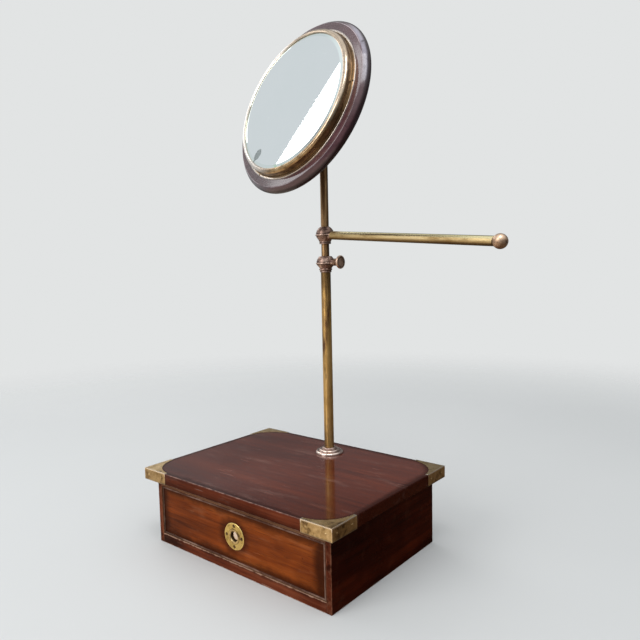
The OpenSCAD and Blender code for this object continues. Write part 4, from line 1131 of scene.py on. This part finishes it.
def bezelPaintedHighlight(f, smut):
    # painted highlights: the flange's edge, and the nose, which is brightest on its left
    above = f.z - discFace
    edge = (f.r + (smut - 0.5) * 0.0012).rise(bezelCove + 0.0003, bezelCove + 0.0011)
    edge = edge * above.rise(0.0018, 0.0013) * 0.7
    nose = (above + (smut - 0.5) * 0.003).rise(0.0075, 0.0102)
    left = f.x.rise(0.0, -0.05)
    return edge.most(nose * left * 0.95).most(nose * f.y.rise(-0.090, -0.01) * 0.35)


bezelMetal = brass(
    "bezelBrass", metals["bezel"], mirrorPlace, (1, 1, 3), bezelPaintedHighlight, bezelDirtAndShade, lines=(20, 20, 2600),
)
turnedPiece(
    "bezel_spun", bezelMetal, "mirror", "bright_brass", "bezel",
    (bezelProfile(mirror), mirrorPlace), steps=256,
)
bezelScrewMetal = brass("bezelScrewBrass", metals["screw"])
softCopy("bezel_screws_brass", "bezel_screws", bezelScrewMetal, "mirror", "aged_brass", 0.0001, 1)


def glassFinish():
    f = Finish("silvered", mirrorPlace)
    haze = f.noise(16, detail=4, roughness=0.6)
    colour = f.mix(haze.rise(0.35, 0.7) * 0.5, (0.87, 0.905, 0.91), (0.84, 0.885, 0.885))
    # greenish glass in the bevel, and old silver gone dark at its rim
    bevel = f.r.rise(bevelEdge - 0.0002, bevelEdge + 0.0002)
    colour = f.mix(bevel * 0.6, colour, (0.74, 0.82, 0.79))
    edge = (f.r + f.wander(90, 4, 0.0022)).rise(bevelEdge + 0.0038, bevelEdge + 0.0046)
    colour = f.mix(edge * 0.5, colour, (0.50, 0.64, 0.54))
    # one lost spot of silver near the lower edge, fine specks round it
    lostX, lostY = -0.0412, -0.0650
    dx, dy = f.x - lostX, f.y - lostY
    ragged = f.wander(260, 4, 0.003)
    leaning = dx - dy * 0.30
    lost = ((leaning * leaning * 0.9 + dy * dy * 0.65) ** 0.5 + ragged).rise(0.0064, 0.0054)
    along, across = dx * 0.6 + dy * 0.8 + 0.0085, dx * 0.8 - dy * 0.6
    lost = lost.most(((along * along * 0.2 + across * across * 4) ** 0.5 + ragged * 0.4).rise(0.0026, 0.0018))
    speck = f.spots(420, size=0.16) * f.noise(30, detail=2).rise(0.56, 0.64) * f.r.rise(0.06, 0.088)
    colour = f.mix(lost.most(speck * 0.6) * 0.85, colour, (0.10, 0.12, 0.12))
    glint = f.noise(190, detail=2).rise(0.50, 0.58) * f.y.rise(-0.0835, -0.0865)
    colour = f.mix(glint * 0.7, colour, (0.50, 0.78, 0.46))
    dust = f.spots(700, size=0.14) * f.noise(12, detail=2).rise(0.45, 0.6)
    rough = 0.012 + haze.rise(0.55, 0.8) * 0.01 + dust * 0.15 + lost * 0.2
    return f.finish(colour, rough, 1.0)


turnedPiece(
    "mirror_glass_bevelled", glassFinish(), "mirror", "mirror_glass", "mirror_glass",
    (glassProfile(mirror), mirrorPlace), steps=256, angle=6,
)
print("mirror done")


# stage

stage = {
    "floor": (0.62, 0.62, 0.615), "mirrored": ((0.68, 0.57, 0.45), (0.11, 0.07, 0.04)),
    "backdrop": (0.76, 0.775, 0.775), "fade": (0.75, 1.7), "radius": 1.8,
}
room = {
    "brightSide": Vector((-0.75, -0.45, 0.48)).normalized(), "lobe": (0.2, 0.95),
    "up": (0.22, -0.27, 1), "overhead": (0.38, 0.85),
    "post": Vector((0.731, -0.682, 0)), "postEdge": (0.05, 0.30), "postFoot": (0.28, 0.42),
    "glowSide": Vector((-0.5, -0.866, 0)), "glowEdge": (0.78, 0.94), "glowLevel": (0.02, 0.33), "glow": 1.2,
    "bright": 0.74, "dim": 0.20, "sky": 1.05, "tint": (0.93, 0.975, 1.0),
}


def makeFloor(look):
    f = Finish("paleFloor")
    tint = f.mix(f.noise(3, detail=2).rise(0.3, 0.7) * 0.3, look["floor"], [c * 0.97 for c in look["floor"]])
    # the brass sees a browner floor that darkens towards the right and the back
    mirrored = f.mix((f.x * 0.75 + f.y * 0.65).rise(-0.07, 0.09), *look["mirrored"])
    tint = f.mix(f.node("ShaderNodeLightPath", out="Is Glossy Ray"), tint, mirrored)
    # it fades into the backdrop
    material = f.finish(tint, 0.85, faded=f.r.rise(*look["fade"]), **{"Specular IOR Level": 0.2})
    bm = bmesh.new()
    bmesh.ops.create_circle(bm, cap_ends=True, radius=look["radius"], segments=96)
    floor = bpy.data.objects.new("floor", finishMesh(bm, "floor"))
    floor.data.materials.append(material)
    bpy.context.scene.collection.objects.link(floor)


def makeRoom(look, backdrop):
    world = bpy.data.worlds.new("room")
    bpy.context.scene.world = world
    world.use_nodes = True
    g = Graph(world.node_tree)
    way = g.node("ShaderNodeTexCoord", out="Generated")
    side = g.dot(way, look["brightSide"]).rise(*look["lobe"]) * (look["bright"] - look["dim"])
    # a darker post stands above the horizon, and a glow lies along it to the left of the front
    level = g.dot(way, (0, 0, 1))
    post = g.dot(way, look["post"]).near(*look["postEdge"]) * level.rise(*look["postFoot"])
    glow = g.dot(way, look["glowSide"]).rise(*look["glowEdge"]) * level.near(*look["glowLevel"])
    side = (side * (1 - post * 0.75)).most(glow * (look["glow"] - look["dim"]))
    sky = g.dot(way, look["up"]).rise(*look["overhead"]) * (look["sky"] - look["dim"])
    strength = look["dim"] + side.most(sky)
    lit = g.node("ShaderNodeBackground", values={"Color": look["tint"], "Strength": strength})
    pale = g.node("ShaderNodeBackground", values={"Color": backdrop, "Strength": 1.0})
    seen = g.node("ShaderNodeLightPath", out="Is Camera Ray")
    shown = g.node("ShaderNodeMixShader", values={0: seen, 1: lit, 2: pale})
    g.node("ShaderNodeOutputWorld", values={0: shown}, out=None)


lamps = {
    # the side window's edge lies so that the mirror shows it as it does in the photograph
    "window": {
        "edge": ((78.6, 30.0), (3.7, -83.6)), "within": (60, -60),
        "far": 1.5, "past": (0.09, 0.10), "wide": 0.11, "watts": 0.65,
    },
    "front": {"place": (-0.55, -2.0, 1.3), "size": (1.2, 1.3), "watts": 19},
    # the sky over the right shoulder glances off the disc's edge and the tops of the brass
    "sky": {"place": (0.53, -0.53, 1.81), "size": (0.8, 0.8), "watts": 8},
    # the left panel stands where the glass's bevel and the bezel's nose look on the left
    "left": {"place": (-1.36, 0.47, 1.24), "size": (1.05, 0.86), "watts": 4.2},
}


def areaLamp(name, place, along, across, long, wide, watts):
    # it shines away from the cross product of its sides
    data = bpy.data.lights.new(name, "AREA")
    data.shape = "RECTANGLE"
    data.size = long
    data.size_y = wide
    data.energy = watts
    lamp = bpy.data.objects.new(name, data)
    bpy.context.scene.collection.objects.link(lamp)
    sides = Matrix((along, across, along.cross(across))).transposed()
    lamp.matrix_world = Matrix.Translation(place) @ sides.to_4x4()
    return lamp


def softLamp(name, look, aim=Vector((0, 0, 0.25))):
    place = Vector(look["place"])
    back = (place - aim).normalized()
    along = Vector((0, 0, 1)).cross(back).normalized()
    return areaLamp(name, place, along, back.cross(along), *look["size"], look["watts"])


def windowLamp(look):
    eye = Vector(camera["place"])
    front = mirror["glassFront"]
    face = mirrorPlace @ Vector((0, 0, front * mm))
    normal = (mirrorPlace.to_3x3() @ Vector((0, 0, 1))).normalized()
    mirrored = eye - 2 * (eye - face).dot(normal) * normal
    rays = [
        (mirrorPlace @ Vector((x * mm, y * mm, front * mm)) - mirrored).normalized()
        for x, y in (*look["edge"], look["within"])
    ]
    middle = (rays[0] + rays[1]).normalized()
    centre = face + middle * look["far"]
    hits = [mirrored + ray * ((centre - mirrored).dot(middle) / ray.dot(middle)) for ray in rays]
    along = (hits[1] - hits[0]).normalized()
    outward = hits[2] - hits[0]
    outward = (outward - outward.dot(along) * along).normalized()
    if along.cross(outward).dot(middle) < 0:
        along = -along
    # it runs a little past the edge's ends
    first, last = hits[0] - along * look["past"][0], hits[1] + along * look["past"][1]
    place = (first + last) / 2 + outward * look["wide"] / 2
    return areaLamp("window", place, along, outward, (last - first).length, look["wide"], look["watts"])


makeFloor(stage)
makeRoom(room, stage["backdrop"])
windowLamp(lamps["window"])
for lamp in ("front", "sky", "left"):
    softLamp(lamp, lamps[lamp])
bpy.context.scene.view_settings.view_transform = "Standard"
print("stage and lamps done")
